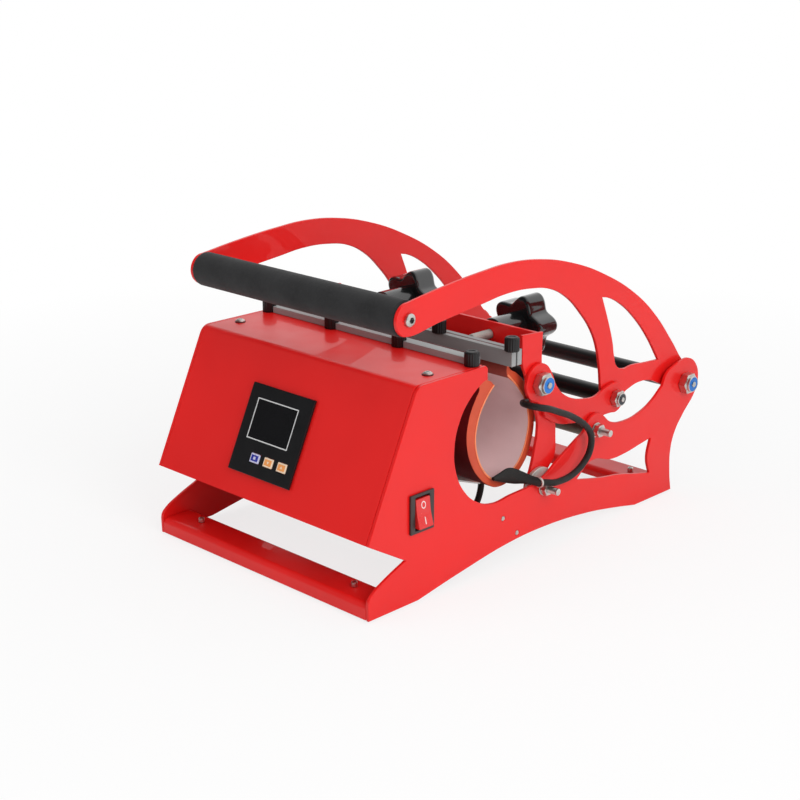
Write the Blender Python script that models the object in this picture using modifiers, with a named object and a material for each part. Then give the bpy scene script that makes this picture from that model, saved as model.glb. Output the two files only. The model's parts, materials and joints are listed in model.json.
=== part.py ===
"""A tabletop mug heat press: a red sheet steel housing with a controller, a curved heating
mat hung from two clamp bars, and a pair of handle arms that swing the rear bar to and fro.

The side view is drawn with y = 0 midway between the feet and z = 0 under the side plates,
and every object hangs from one empty that centres the machine on its own footprint.
The x axis runs across the machine, and -y is its front.
"""

import math

import bmesh
import bpy
from mathutils import Matrix

# Overall sizes of the side view, which every outline share is a share of
SIDE_LENGTH = 0.384
SIDE_HEIGHT = 0.245
HALF_WIDTH = 0.125

# Sheet metal and the layers of the linkage across x
SHEET = 0.003
LAYER_GAP = 0.0005
COVER_SHEET = 0.0015
THIN_SHEET = 0.0012
CHANNEL_SHEET = 0.002
GAP = 0.0003
BOLT_CLEARANCE = 0.0003
OVERRUN = 0.004

# Pivots in the side view, as shares of the side length and height
ARM_PIVOT_SHARES = (0.531, 0.404)
KNEE_PIVOT_SHARES = (0.277, 0.433)
ELBOW_PIVOT_SHARES = (0.013, 0.578)
CLAMP_PIVOT_SHARES = (0.0234, 0.2122)
STOP_SHARES = (0.199, 0.349)
HANDLE_SHARES = (-0.3706, 0.904)

# Radii of the lobes that surround the pivots
PLATE_ARM_LOBE = 0.022
PLATE_STOP_LOBE = 0.014
ARM_LOBE = 0.019
KNEE_LOBE = 0.0135
ELBOW_LOBE = 0.016
CLAMP_LOBE = 0.014
HANDLE_LOBE = 0.013

# Fasteners: radius of the thread, width across the flats and height of the nut
ARM_BOLT = 0.005
ARM_NUT_FLATS = 0.017
ARM_NUT_HEIGHT = 0.0097
KNEE_BOLT = 0.004
KNEE_NUT_FLATS = 0.013
KNEE_NUT_HEIGHT = 0.0077
SMALL_BOLT = 0.003
SMALL_NUT_FLATS = 0.010
SMALL_NUT_HEIGHT = 0.005
SMALL_WASHER = 0.0063
SMALL_WASHER_HEIGHT = 0.0012
SMALL_HEAD = 0.0058
SMALL_HEAD_HEIGHT = 0.0038
SMALL_THREAD_REACH = 0.0097
BOLT_END = 0.001
ARM_COLLAR = 0.010
ELBOW_HEAD = 0.008
ELBOW_HEAD_HEIGHT = 0.004
SPACER_DISC = 0.0165

# Cross tubes and the sleeve that the links rest on
CROSS_TUBE = 0.0075
STOP_SLEEVE = 0.0079
TUBE_BORE_PLAY = 0.0005
REST_GAP = 0.0006

# Handle
HANDLE_CORE = 0.008
GRIP_RADIUS = 0.014
HANDLE_BOLT = 0.004
HANDLE_HEAD = 0.00525
HANDLE_HEAD_HEIGHT = 0.003
HANDLE_HEAD_EDGE = 0.0018

# Housing
MUG_OPENING_SHARES = (-0.117, 0.445)
MUG_OPENING_RADIUS_SHARE = 0.2216
REAR_WALL_CLEARANCE = 0.0020
REAR_WALL_TOP_ANGLE = 112
REAR_WALL_FOOT_ANGLE = 200
BRACKET_ANGLE = 206
BRACKET_DEPTH = 0.0300
BRACKET_DROP = 0.0090
BEND_RADIUS = 0.003
COVER_BEND = 0.006
PLATE_CORNER = 0.011
PANEL_FOOT_SHARES = (-0.499, 0.245)
PANEL_BEND_SHARES = (-0.3635, 0.700)
COVER_REAR_SHARE = -0.169
COVER_SCREW_INSET = 0.0165
COVER_SCREW_SHARE = -0.292
COVER_SCREW = 0.0019
COVER_SCREW_LENGTH = 0.008
COVER_SCREW_HEAD = 0.004
COVER_SCREW_HEAD_HEIGHT = 0.0025

# Foot bars, with a rubber foot under each of their holes
FOOT_BAR_DEPTH = 0.031
FOOT_BAR_HEIGHT = 0.013
FOOT_BAR_LIP = 0.009
FOOT_BAR_BEND = 0.005
FOOT_HOLE_INSET = 0.017
FOOT_INSET = 0.033
FOOT_SCREW = 0.0022
FOOT_SCREW_HEAD = 0.0026
FOOT_SCREW_HEAD_HEIGHT = 0.0045
FOOT_RADIUS = 0.007
FOOT_DROP = 0.0015

# Bars that clamp the mat, and the knurled caps on their screws
FRONT_BAR_DEPTH = 0.010
FRONT_BAR_HEIGHT = 0.0055
FRONT_BAR_FRONT_SHARE = -0.1914
CAP_RADIUS = 0.006
CAP_HEIGHT = 0.0115
CAP_EDGE = 0.0012
CAP_CLEARANCE = 0.0003
CAP_END_INSET = 0.001
CAP_OVERHANG = 0.0045
REAR_BAR_HEIGHT = 0.013
REAR_BAR_FOOT_SHARE = 0.655
REAR_BAR_STRIP = 0.0052
MAT_EDGE = 0.0012
REAR_CAP_INSET = 0.0010

# Heating mat
MAT_END_CLEARANCE = 0.0063

# Swing clamp, its star knobs and their screws
BACK_PLATE_DROP = 0.0315
BACK_PLATE_TOP_GAP = 0.0008
KNOB_SPACING_SHARE = 0.512
KNOB_HEIGHT_SHARE = 0.696
KNOB_HUB = 0.0125
KNOB_HUB_LENGTH = 0.030
KNOB_TIP = 0.027
KNOB_ROOT = 0.0195
KNOB_THICKNESS = 0.024
KNOB_EDGE = 0.003
KNOB_LOBES = 5
KNOB_POINTS = 40
KNOB_TURN = 75
KNOB_SCREW = 0.004
KNOB_SCREW_GRIP = 0.015

# Controller, which sits square on the sloping panel
CONTROLLER_SIZE = 0.072
CONTROLLER_X = -0.0052
CONTROLLER_UP = 0.0548
CONTROLLER_BEZEL = 0.0025
CONTROLLER_BODY = 0.0665
CONTROLLER_DEPTH = 0.036
CONTROLLER_CORNER = 0.002
CUTOUT_PLAY = 0.0008
SCREEN_WIDTH = 0.0465
SCREEN_HEIGHT = 0.032
SCREEN_UP = 0.0085
SCREEN_RECESS = 0.0012
SCREEN_GLASS = 0.0008
SCREEN_X = -0.0015
BUTTON_WIDTH = 0.0105
BUTTON_HEIGHT = 0.0075
BUTTON_PITCH = 0.0158
BUTTON_ROW_X = 0.0068
BUTTON_DROP = 0.0218
BUTTON_POCKET = 0.0030
BUTTON_TRAVEL = 0.0008
BUTTON_PROUD = 0.0005
BUTTON_PLAY = 0.0003

# Rocker switch in the right plate and mains inlet in the left one
SWITCH_SHARES = (-0.355, 0.2965)
SWITCH_BEZEL_DEPTH = 0.0255
SWITCH_BEZEL_HEIGHT = 0.0316
SWITCH_BEZEL = 0.002
SWITCH_BODY_DEPTH = 0.0205
SWITCH_BODY_HEIGHT = 0.0290
SWITCH_BODY_LENGTH = 0.020
PADDLE_DEPTH = 0.0150
PADDLE_HALF = 0.0115
PADDLE_PROUD = 0.0065
PADDLE_MIDDLE = 0.0036
PADDLE_SUNK = 0.0022
PADDLE_KEEL = 0.0030
PADDLE_KEEL_HALF = 0.0040
PADDLE_HEEL = 0.0005
PADDLE_SEAT = 0.0022
PADDLE_POCKET = 0.0070
PADDLE_POCKET_HALF = 0.0133
INLET_BEZEL_DEPTH = 0.031
INLET_BEZEL_HEIGHT = 0.024
INLET_BODY_DEPTH = 0.0272
INLET_BODY_HEIGHT = 0.0204
INLET_BODY_LENGTH = 0.022
INLET_SOCKET_DEPTH = 0.0240
INLET_SOCKET_HEIGHT = 0.0165
INLET_SOCKET_LENGTH = 0.016
INLET_PIN_WIDTH = 0.004
INLET_PIN_THICKNESS = 0.002
INLET_PIN_LENGTH = 0.010
INLET_PIN_PITCH = 0.007
INLET_PIN_RISE = 0.0025

# Heater lead, its flat sleeve on the mat and its gland in the housing floor
LEAD_RADIUS = 0.0028
GLAND_RADIUS = 0.008
GLAND_HEIGHT = 0.009
GLAND_NECK = 0.006
GLAND_NECK_HEIGHT = 0.006

# Fineness of curves and turned pieces
OUTLINE_STEPS = 3
BOLT_SIDES = 16
ROUND_SIDES = 24
CAP_SIDES = 16
MERGE = 0.00001

RED = (0.72, 0.012, 0.012)
BLACK = (0.012, 0.012, 0.013)
STEEL = (0.62, 0.61, 0.58)
ALUMINIUM = (0.45, 0.45, 0.43)

COLLECTION = None
CUTTERS = None
MACHINE = None


def side(shares):
    """A point of the side view, from its shares of the side length and height."""
    return shares[0] * SIDE_LENGTH, shares[1] * SIDE_HEIGHT


ARM_PIVOT = side(ARM_PIVOT_SHARES)
KNEE_PIVOT = side(KNEE_PIVOT_SHARES)
ELBOW_PIVOT = side(ELBOW_PIVOT_SHARES)
CLAMP_PIVOT = side(CLAMP_PIVOT_SHARES)
STOP = side(STOP_SHARES)
HANDLE = side(HANDLE_SHARES)
MUG_OPENING = side(MUG_OPENING_SHARES)
MUG_OPENING_RADIUS = MUG_OPENING_RADIUS_SHARE * SIDE_HEIGHT
PANEL_FOOT = side(PANEL_FOOT_SHARES)
PANEL_BEND = side(PANEL_BEND_SHARES)
SWITCH = side(SWITCH_SHARES)

# Layers across x: the plates outside, then the links, then the arms and the clamp's flanges
PLATE_X = HALF_WIDTH - SHEET / 2
LINK_X = PLATE_X - SHEET - LAYER_GAP
ARM_X = LINK_X - SHEET - LAYER_GAP
PLATE_INSIDE = PLATE_X - SHEET / 2
ARM_INSIDE = ARM_X - SHEET / 2
ARM_OUTSIDE = ARM_X + SHEET / 2
LINK_OUTSIDE = LINK_X + SHEET / 2
INNER_HALF = PLATE_INSIDE - GAP
COVER_SCREW_X = HALF_WIDTH - COVER_SCREW_INSET
FOOT_X = HALF_WIDTH - FOOT_INSET
BAR_HALF_LENGTH = ARM_OUTSIDE
MAT_HALF_LENGTH = ARM_INSIDE - MAT_END_CLEARANCE
KNOB_X = KNOB_SPACING_SHARE * HALF_WIDTH

BAR_SEAT = PANEL_BEND[1] + GAP
COVER_REAR = COVER_REAR_SHARE * SIDE_LENGTH
FRONT_BAR_FRONT = FRONT_BAR_FRONT_SHARE * SIDE_LENGTH
FRONT_BAR_REAR = FRONT_BAR_FRONT + FRONT_BAR_DEPTH
FRONT_CAP_Y = FRONT_BAR_FRONT + CAP_RADIUS - CAP_OVERHANG

# Outlines of the side view. A third value of 1 marks a corner, and the rest run smoothly
PLATE_BOTTOM_SHARES = [
    (-0.499, 0.000, 1),
    (-0.361, 0.000, 1),
    (-0.238, 0.032),
    (-0.086, 0.063),
    (0.027, 0.068),
    (0.176, 0.051),
    (0.269, 0.028),
    (0.359, 0.000, 1),
    (0.500, 0.000, 1),
]
PLATE_REAR_SHARES = [(0.492, 0.073), (0.492, 0.171), (0.507, 0.231), (0.533, 0.280)]
PLATE_LENS_SHARES = [
    (0.492, 0.481),
    (0.462, 0.461),
    (0.445, 0.418, 1),
    (0.407, 0.377),
    (0.369, 0.353),
    (0.312, 0.340),
    (0.255, 0.356),
]
PLATE_TOWER_SHARES = [(0.133, 0.338), (0.075, 0.292), (0.023, 0.247), (-0.020, 0.235)]
PLATE_TOP_SHARES = [
    (-0.1617, 0.6515, 1),
    (-0.1617, 0.6900, 1),
    (-0.1675, 0.6995, 1),
]
PLATE_FRONT_SHARES = [
    (-0.3960, 0.1510, 1),
    (-0.4580, 0.1105),
    (-0.4860, 0.0865),
    (-0.4975, 0.0680),
    (-0.5000, 0.0520, 1),
]
WEDGE_HOLE_SHARES = [
    (0.410, 0.237, 1),
    (0.368, 0.228),
    (0.316, 0.217),
    (0.264, 0.215),
    (0.187, 0.238),
    (0.139, 0.191, 1),
    (0.229, 0.160),
    (0.292, 0.145),
    (0.354, 0.122),
    (0.410, 0.103, 1),
    (0.399, 0.163),
]
SMALL_HOLES_SHARES = [(-0.105, 0.158), (-0.059, 0.087)]
ARM_OUTER_SHARES = [
    (-0.280, 0.976),
    (-0.163, 0.994),
    (-0.071, 1.000),
    (0.026, 0.985),
    (0.127, 0.947),
    (0.234, 0.882),
    (0.349, 0.783),
    (0.430, 0.682),
    (0.500, 0.563),
]
ARM_HEEL_SHARES = [(0.445, 0.427), (0.412, 0.446), (0.381, 0.451), (0.354, 0.446)]
ARM_INNER_SHARES = [
    (0.236, 0.488),
    (0.231, 0.544),
    (0.220, 0.616),
    (0.199, 0.687),
    (0.154, 0.772),
    (0.110, 0.833),
    (0.055, 0.878),
    (-0.011, 0.899),
    (-0.088, 0.903),
    (-0.161, 0.891),
    (-0.279, 0.871),
]
ARM_WINDOW_SHARES = [
    (0.230, 0.802, 1),
    (0.253, 0.793),
    (0.298, 0.758),
    (0.353, 0.691),
    (0.403, 0.609),
    (0.449, 0.511, 1),
    (0.400, 0.516),
    (0.354, 0.523),
    (0.318, 0.521),
    (0.292, 0.539),
    (0.280, 0.584),
    (0.274, 0.627),
    (0.256, 0.706),
]
LINK_UPPER_SHARES = [
    (0.234, 0.476),
    (0.210, 0.463),
    (0.166, 0.468),
    (0.131, 0.482),
    (0.095, 0.511),
    (0.073, 0.544),
]
LINK_LOWER_SHARES = [(0.026, 0.488), (0.034, 0.453, 1), (0.073, 0.416), (0.130, 0.394)]
FLANGE_TOP_SHARES = [(-0.0355, 0.751, 1), (0.031, 0.743, 1)]
FLANGE_REAR_SHARES = [
    (0.031, 0.624),
    (0.039, 0.576),
    (0.057, 0.506),
    (0.078, 0.433),
    (0.083, 0.367),
    (0.081, 0.294),
]
FLANGE_FRONT_SHARES = [
    (0.002, 0.273),
    (0.015, 0.345),
    (0.022, 0.400),
    (0.020, 0.452),
    (-0.001, 0.519),
    (-0.015, 0.578),
    (-0.022, 0.614),
    (-0.032, 0.651),
    (-0.034, 0.702),
]
MAT_OUTER_SHARES = [
    (-0.1490, 0.5700),
    (-0.1615, 0.5375),
    (-0.1703, 0.5000),
    (-0.1753, 0.4550),
    (-0.1724, 0.4040),
    (-0.1610, 0.3530),
    (-0.1393, 0.3020),
    (-0.1068, 0.2580),
    (-0.0745, 0.2380),
    (-0.0300, 0.2490),
    (0.0104, 0.2940),
    (0.0307, 0.3560),
    (0.0391, 0.4286),
    (0.0339, 0.4878),
    (0.0214, 0.5355),
    (0.0000, 0.5812),
    (-0.0234, 0.6143),
    (-0.0430, 0.6335),
]
MAT_INNER_SHARES = [
    (-0.0526, 0.6143),
    (-0.0312, 0.5820),
    (-0.0120, 0.5486),
    (0.0042, 0.5143),
    (0.0141, 0.4714),
    (0.0180, 0.4286),
    (0.0135, 0.3857),
    (0.0021, 0.3367),
    (-0.0177, 0.2971),
    (-0.0469, 0.2735),
    (-0.0781, 0.2694),
    (-0.1055, 0.2906),
    (-0.1289, 0.3347),
    (-0.1438, 0.3898),
    (-0.1477, 0.4388),
    (-0.1427, 0.4816),
    (-0.1333, 0.5196),
    (-0.1203, 0.5502),
    (-0.1057, 0.5763),
]
MAT_FLAP_SHARES = [
    (-0.0924, 0.5951, 1),
    (-0.1013, 0.6106, 1),
    (-0.1211, 0.6253),
    (-0.1422, 0.6302),
    (-0.1573, 0.6545),
]
MAT_SHOULDER_SHARES = [
    (-0.1609, 0.6530),
    (-0.1497, 0.6245),
    (-0.1385, 0.6010),
]

# Points along the heater lead, from the mat's sleeve to the gland: x from the outside of the
# right plate, then y and z of the side view
LEAD_ROUTE = [
    (0.0065, -0.0006, 0.0606),
    (0.0086, 0.0034, 0.0601),
    (0.0098, 0.0082, 0.0589),
    (0.0099, 0.0135, 0.0580),
    (0.0098, 0.0210, 0.0576),
    (0.0098, 0.0283, 0.0578),
    (0.0097, 0.0365, 0.0594),
    (0.0096, 0.0442, 0.0623),
    (0.0094, 0.0508, 0.0663),
    (0.0094, 0.0558, 0.0715),
    (0.0093, 0.0587, 0.0780),
    (0.0093, 0.0588, 0.0850),
    (0.0093, 0.0560, 0.0915),
    (0.0093, 0.0505, 0.0973),
    (0.0093, 0.0430, 0.1030),
    (0.0093, 0.0350, 0.1080),
    (0.0094, 0.0269, 0.1124),
    (0.0096, 0.0175, 0.1166),
    (0.0098, 0.0088, 0.1205),
    (0.0098, 0.0005, 0.1240),
    (0.0090, -0.0039, 0.1253),
    (0.0065, -0.0076, 0.1262),
    (0.0028, -0.0101, 0.1268),
    (-0.0016, -0.0110, 0.1271),
    (-0.0060, -0.0101, 0.1268),
    (-0.0098, -0.0076, 0.1262),
    (-0.0123, -0.0039, 0.1252),
    (-0.0131, 0.0005, 0.1241),
    (-0.0132, 0.0070, 0.1226),
    (-0.0132, 0.0135, 0.1210),
    (-0.0140, 0.0179, 0.1199),
    (-0.0165, 0.0216, 0.1188),
    (-0.0202, 0.0241, 0.1176),
    (-0.0246, 0.0250, 0.1162),
    (-0.0320, 0.0252, 0.1136),
    (-0.0460, 0.0242, 0.1075),
    (-0.0600, 0.0218, 0.0985),
    (-0.0680, 0.0190, 0.0850),
    (-0.0700, 0.0150, 0.0680),
    (-0.0700, 0.0125, 0.0490),
    (-0.0705, 0.0115, 0.0300),
    (-0.0715, 0.0060, 0.0170),
    (-0.0730, -0.0060, 0.0100),
    (-0.0730, -0.0230, 0.0085),
    (-0.0710, -0.0460, 0.0080),
    (-0.0660, -0.0700, 0.0085),
    (-0.0600, -0.0920, 0.0125),
    (-0.0560, -0.1070, 0.0210),
    (-0.0550, -0.1130, 0.0310),
]
LEAD_SPACING = 0.0045
LEAD_RISE = 0.012
GLAND_INSET = 0.055
GLAND_Y = -0.114

# The flat sleeve where the lead leaves the mat: its route, in the same measures, then the half
# depth and half height of each section as shares of the radius at its collar
SLEEVE_ROUTE = [
    (-0.0125, -0.0395, 0.0692),
    (-0.0120, -0.0315, 0.0686),
    (-0.0110, -0.0241, 0.0683),
    (-0.0090, -0.0178, 0.0668),
    (-0.0055, -0.0120, 0.0649),
    (-0.0010, -0.0074, 0.0631),
    (0.0028, -0.0044, 0.0616),
    (0.0056, -0.0026, 0.0610),
]
SLEEVE_SHARES = [
    (0.4000, 0.3500),
    (0.4500, 1.00),
    (0.5000, 1.6000),
    (0.5500, 1.7000),
    (0.7000, 1.3500),
    (0.8800, 1.0500),
    (1.0000, 1.00),
    (1.0000, 1.00),
]
SLEEVE_RADIUS = 0.0040
SLEEVE_SIDES = 12


def clear_scene():
    for obj in list(bpy.data.objects):
        bpy.data.objects.remove(obj)


def new_collection(name, hidden=False):
    made = bpy.data.collections.new(name)
    bpy.context.scene.collection.children.link(made)
    made.hide_render = hidden
    return made


def finish(name, color, roughness, metallic=0.0):
    """A plain Principled material, made once for each name."""
    made = bpy.data.materials.get(name)
    if made is None:
        made = bpy.data.materials.new(name)
        made.use_nodes = True
        shader = made.node_tree.nodes["Principled BSDF"]
        shader.inputs["Base Color"].default_value = (*color, 1)
        shader.inputs["Roughness"].default_value = roughness
        shader.inputs["Metallic"].default_value = metallic
    return made


def hang(obj, pivot=None):
    """Hangs an object, placed in the side view's frame, from a pivot empty or the machine."""
    parent = pivot or MACHINE
    obj.parent = parent
    if pivot:
        obj.matrix_parent_inverse = Matrix.Translation(pivot["place"]).inverted()


def add(obj, material, pivot=None):
    COLLECTION.objects.link(obj)
    if not obj.data.materials:
        obj.data.materials.append(material)
    hang(obj, pivot)
    return obj


def pivot_empty(name, place, parent=None):
    made = bpy.data.objects.new(name, None)
    COLLECTION.objects.link(made)
    made.location = place
    hang(made, parent)
    made["place"] = place
    return made


def helper(obj):
    """A cutter, or a piece that a union takes up: it stays out of the model."""
    CUTTERS.objects.link(obj)
    obj.hide_render = True
    obj.display_type = "WIRE"
    hang(obj)
    return obj


def combine(obj, other, operation):
    modifier = obj.modifiers.new(operation.title(), "BOOLEAN")
    modifier.operation = operation
    modifier.solver = "EXACT"
    modifier.object = other


def smooth(mesh):
    mesh.shade_smooth()
    mesh.set_sharp_from_angle(angle=math.radians(35))


def arc(centre, radius, start, end, count):
    """Points along an arc in the side view, with angles in degrees from +y towards +z."""
    found = []
    for step in range(count):
        angle = math.radians(start + (end - start) * step / (count - 1))
        found.append((centre[0] + radius * math.cos(angle), centre[1] + radius * math.sin(angle)))
    return found


def outline(shares):
    return [(*side(point), *point[2:]) for point in shares]


def circle(centre, radius, sides=BOLT_SIDES):
    """A round hole, widened a little so that its flats clear a round of this radius."""
    reach = radius / math.cos(math.pi / sides)
    points = arc(centre, reach, 0, 360 - 360 / sides, sides)
    return [(*point, 1) for point in points]


def rectangle(centre, depth, height):
    y, z = centre
    corners = [(-1, -1), (1, -1), (1, 1), (-1, 1)]
    return [(y + a * depth / 2, z + b * height / 2, 1) for a, b in corners]


def flat_curve(name, loops, thickness, bevel=0.0):
    """A 2D curve of closed loops, thickened evenly on both sides."""
    data = bpy.data.curves.new(name, "CURVE")
    data.dimensions = "2D"
    data.fill_mode = "BOTH"
    data.extrude = thickness / 2 - bevel
    data.bevel_depth = bevel
    data.bevel_resolution = 1
    data.resolution_u = OUTLINE_STEPS
    for loop in loops:
        straight = all(len(point) > 2 for point in loop)
        spline = data.splines.new("POLY" if straight else "BEZIER")
        if straight:
            spline.points.add(len(loop) - 1)
            for knot, point in zip(spline.points, loop):
                knot.co = (point[0], point[1], 0, 1)
        else:
            spline.bezier_points.add(len(loop) - 1)
            for knot, point in zip(spline.bezier_points, loop):
                knot.co = (point[0], point[1], 0)
                handle = "VECTOR" if len(point) > 2 else "AUTO"
                knot.handle_left_type = handle
                knot.handle_right_type = handle
        spline.use_cyclic_u = True
    return bpy.data.objects.new(name, data)


def face_side(obj, x):
    """Turns a flat curve into the side view's plane, at this x."""
    obj.rotation_euler = (math.radians(90), 0, math.radians(90))
    obj.location = (x, 0, 0)
    return obj


def side_plate(name, loops, x, thickness, material, pivot=None):
    return add(face_side(flat_curve(name, loops, thickness), x), material, pivot)


def as_mesh(curve):
    """The mesh of a curve, welded, so that it can be cut or joined. The curve goes."""
    bpy.context.scene.collection.objects.link(curve)
    graph = bpy.context.evaluated_depsgraph_get()
    mesh = bpy.data.meshes.new_from_object(curve.evaluated_get(graph))
    edit = bmesh.new()
    edit.from_mesh(mesh)
    bmesh.ops.remove_doubles(edit, verts=edit.verts, dist=MERGE)
    bmesh.ops.recalc_face_normals(edit, faces=edit.faces)
    edit.to_mesh(mesh)
    edit.free()
    made = bpy.data.objects.new(curve.name + "_solid", mesh)
    made.matrix_world = curve.matrix_world
    bpy.data.objects.remove(curve)
    return made


def box(name, low, high):
    edit = bmesh.new()
    bmesh.ops.create_cube(edit, size=1)
    size = [h - l for l, h in zip(low, high)]
    bmesh.ops.scale(edit, vec=size, verts=edit.verts)
    bmesh.ops.translate(edit, vec=[(l + h) / 2 for l, h in zip(low, high)], verts=edit.verts)
    mesh = bpy.data.meshes.new(name)
    edit.to_mesh(mesh)
    edit.free()
    return bpy.data.objects.new(name, mesh)


def prism(name, points, low, high):
    """A straight prism on a polygon of the side view, from x = low to x = high."""
    edit = bmesh.new()
    rings = [[edit.verts.new((x, y, z)) for y, z in points] for x in (low, high)]
    edit.faces.new(rings[0])
    edit.faces.new(rings[1])
    for near, far in zip(range(len(points)), list(range(1, len(points))) + [0]):
        edit.faces.new((rings[0][near], rings[0][far], rings[1][far], rings[1][near]))
    bmesh.ops.recalc_face_normals(edit, faces=edit.faces)
    mesh = bpy.data.meshes.new(name)
    edit.to_mesh(mesh)
    edit.free()
    return bpy.data.objects.new(name, mesh)


def turned(name, profile, place, axis, sides=ROUND_SIDES):
    """A solid of revolution. The profile holds (along, radius) pairs, rising along the axis,
    and ends on the axis unless it is a closed ring, whose last point repeats its first."""
    ring = profile[0] == profile[-1]
    points = profile[:-1] if ring else profile
    mesh = bpy.data.meshes.new(name)
    falling = [(radius, 0, along) for along, radius in reversed(points)]
    edges = [(step, step + 1) for step in range(len(falling) - 1)]
    if ring:
        edges.append((len(falling) - 1, 0))
    mesh.from_pydata(falling, edges, [])
    made = bpy.data.objects.new(name, mesh)
    screw = made.modifiers.new("Screw", "SCREW")
    screw.steps = sides
    screw.render_steps = sides
    screw.use_merge_vertices = True
    screw.merge_threshold = MERGE
    turns = {"X": (0, math.radians(90), 0), "Y": (math.radians(-90), 0, 0), "Z": (0, 0, 0)}
    made.rotation_euler = turns[axis]
    made.location = place
    return made


def tube(name, half_length, radius, bore, pivot_place):
    profile = [
        (-half_length, bore),
        (-half_length, radius),
        (half_length, radius),
        (half_length, bore),
        (-half_length, bore),
    ]
    return turned(name, profile, (0, *pivot_place), "X")


def hexagon(centre, flats):
    return arc(centre, flats / math.sqrt(3), 30, 330, 6)


def with_nut(obj, centre, flats, start, height, sign):
    """Joins a hexagon nut to a bolt that lies along x."""
    ends = sorted((sign * start, sign * (start + height)))
    nut = helper(prism(obj.name + ("_nut_r" if sign > 0 else "_nut_l"), hexagon(centre, flats), *ends))
    combine(obj, nut, "UNION")


def both_ways(half):
    """A profile from its -x end to its +x end, from the half at +x."""
    return [(-along, radius) for along, radius in reversed(half)] + half


def sided(profile, sign):
    """The profile for the right side, or its mirror image for the left."""
    return profile if sign > 0 else [(-along, radius) for along, radius in reversed(profile)]


def rounded_path(points, radius, steps=3):
    """The open path with each inner corner replaced by an arc of this radius."""
    found = [points[0]]
    for before, corner, after in zip(points, points[1:], points[2:]):
        a = math.atan2(before[1] - corner[1], before[0] - corner[0])
        b = math.atan2(after[1] - corner[1], after[0] - corner[0])
        half = abs((b - a + math.pi) % (2 * math.pi) - math.pi) / 2
        reach = radius / math.tan(half)
        middle = a + ((b - a + math.pi) % (2 * math.pi) - math.pi) / 2
        centre = [c + radius / math.sin(half) * t for c, t in zip(corner, (math.cos(middle), math.sin(middle)))]
        start = (corner[0] + reach * math.cos(a), corner[1] + reach * math.sin(a))
        end = (corner[0] + reach * math.cos(b), corner[1] + reach * math.sin(b))
        first = math.atan2(start[1] - centre[1], start[0] - centre[0])
        last = math.atan2(end[1] - centre[1], end[0] - centre[0])
        sweep = (last - first + math.pi) % (2 * math.pi) - math.pi
        for step in range(steps + 1):
            angle = first + sweep * step / steps
            found.append((centre[0] + radius * math.cos(angle), centre[1] + radius * math.sin(angle)))
    found.append(points[-1])
    return found


def bent_sheet(name, path, half_width, thickness, inward=1):
    """A sheet bent along a path of the side view. The path is one face of the sheet, and the
    thickness grows to the path's left, or to its right where inward is -1."""
    mesh = bpy.data.meshes.new(name)
    points = [(x, y, z) for y, z in path for x in (-half_width, half_width)]
    faces = [(2 * n, 2 * n + 1, 2 * n + 3, 2 * n + 2) for n in range(len(path) - 1)]
    mesh.from_pydata(points, [], faces)
    made = bpy.data.objects.new(name, mesh)
    solid = made.modifiers.new("Thickness", "SOLIDIFY")
    solid.thickness = thickness
    solid.offset = inward
    solid.use_even_offset = True
    return made


def loft(name, rings):
    """A closed skin over rings of as many points each."""
    edit = bmesh.new()
    made_rings = [[edit.verts.new(point) for point in ring] for ring in rings]
    count = len(rings[0])
    for near, far in zip(made_rings, made_rings[1:]):
        for step in range(count):
            after = (step + 1) % count
            edit.faces.new((near[step], near[after], far[after], far[step]))
    edit.faces.new(made_rings[0])
    edit.faces.new(made_rings[-1])
    bmesh.ops.recalc_face_normals(edit, faces=edit.faces)
    mesh = bpy.data.meshes.new(name)
    edit.to_mesh(mesh)
    edit.free()
    return bpy.data.objects.new(name, mesh)


def plate_outline():
    bend = [side(PLATE_TOP_SHARES[-1][:2]), PANEL_BEND, PANEL_FOOT]
    panel = [(*point, 1) for point in rounded_path(bend, PLATE_CORNER, 6)[1:]]
    return (
        outline(PLATE_BOTTOM_SHARES)
        + outline(PLATE_REAR_SHARES)
        + arc(ARM_PIVOT, PLATE_ARM_LOBE, -30, 110, 5)
        + outline(PLATE_LENS_SHARES)
        + arc(STOP, PLATE_STOP_LOBE, 65, 165, 4)
        + outline(PLATE_TOWER_SHARES)
        + arc(MUG_OPENING, MUG_OPENING_RADIUS, -76, -249, 9)
        + outline(PLATE_TOP_SHARES)
        + panel
        + outline(PLATE_FRONT_SHARES)
    )


def side_plates():
    red = finish("red_paint", RED, 0.3)
    for name, sign in (("left_side_plate", -1), ("right_side_plate", 1)):
        holes = [
            outline(WEDGE_HOLE_SHARES),
            circle(ARM_PIVOT, ARM_BOLT + BOLT_CLEARANCE),
            circle(STOP, SMALL_BOLT + BOLT_CLEARANCE),
            circle(CLAMP_PIVOT, SMALL_BOLT + BOLT_CLEARANCE),
        ]
        holes += [circle(side(place), FOOT_SCREW, 8) for place in SMALL_HOLES_SHARES]
        if sign > 0:
            cut = rectangle(SWITCH, SWITCH_BODY_DEPTH + CUTOUT_PLAY, SWITCH_BODY_HEIGHT + CUTOUT_PLAY)
        else:
            cut = rectangle(SWITCH, INLET_BODY_DEPTH + CUTOUT_PLAY, INLET_BODY_HEIGHT + CUTOUT_PLAY)
        side_plate(name, [plate_outline(), *holes, cut], sign * PLATE_X, SHEET, red)


def panel_frame():
    """An empty at the panel's foot, with x across, y up the slope and z out of the panel."""
    slope = math.atan2(PANEL_BEND[1] - PANEL_FOOT[1], PANEL_BEND[0] - PANEL_FOOT[0])
    made = bpy.data.objects.new("panel_frame", None)
    COLLECTION.objects.link(made)
    made.parent = MACHINE
    made.location = (0, *PANEL_FOOT)
    made.rotation_euler = (slope, 0, 0)
    return made


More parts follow.
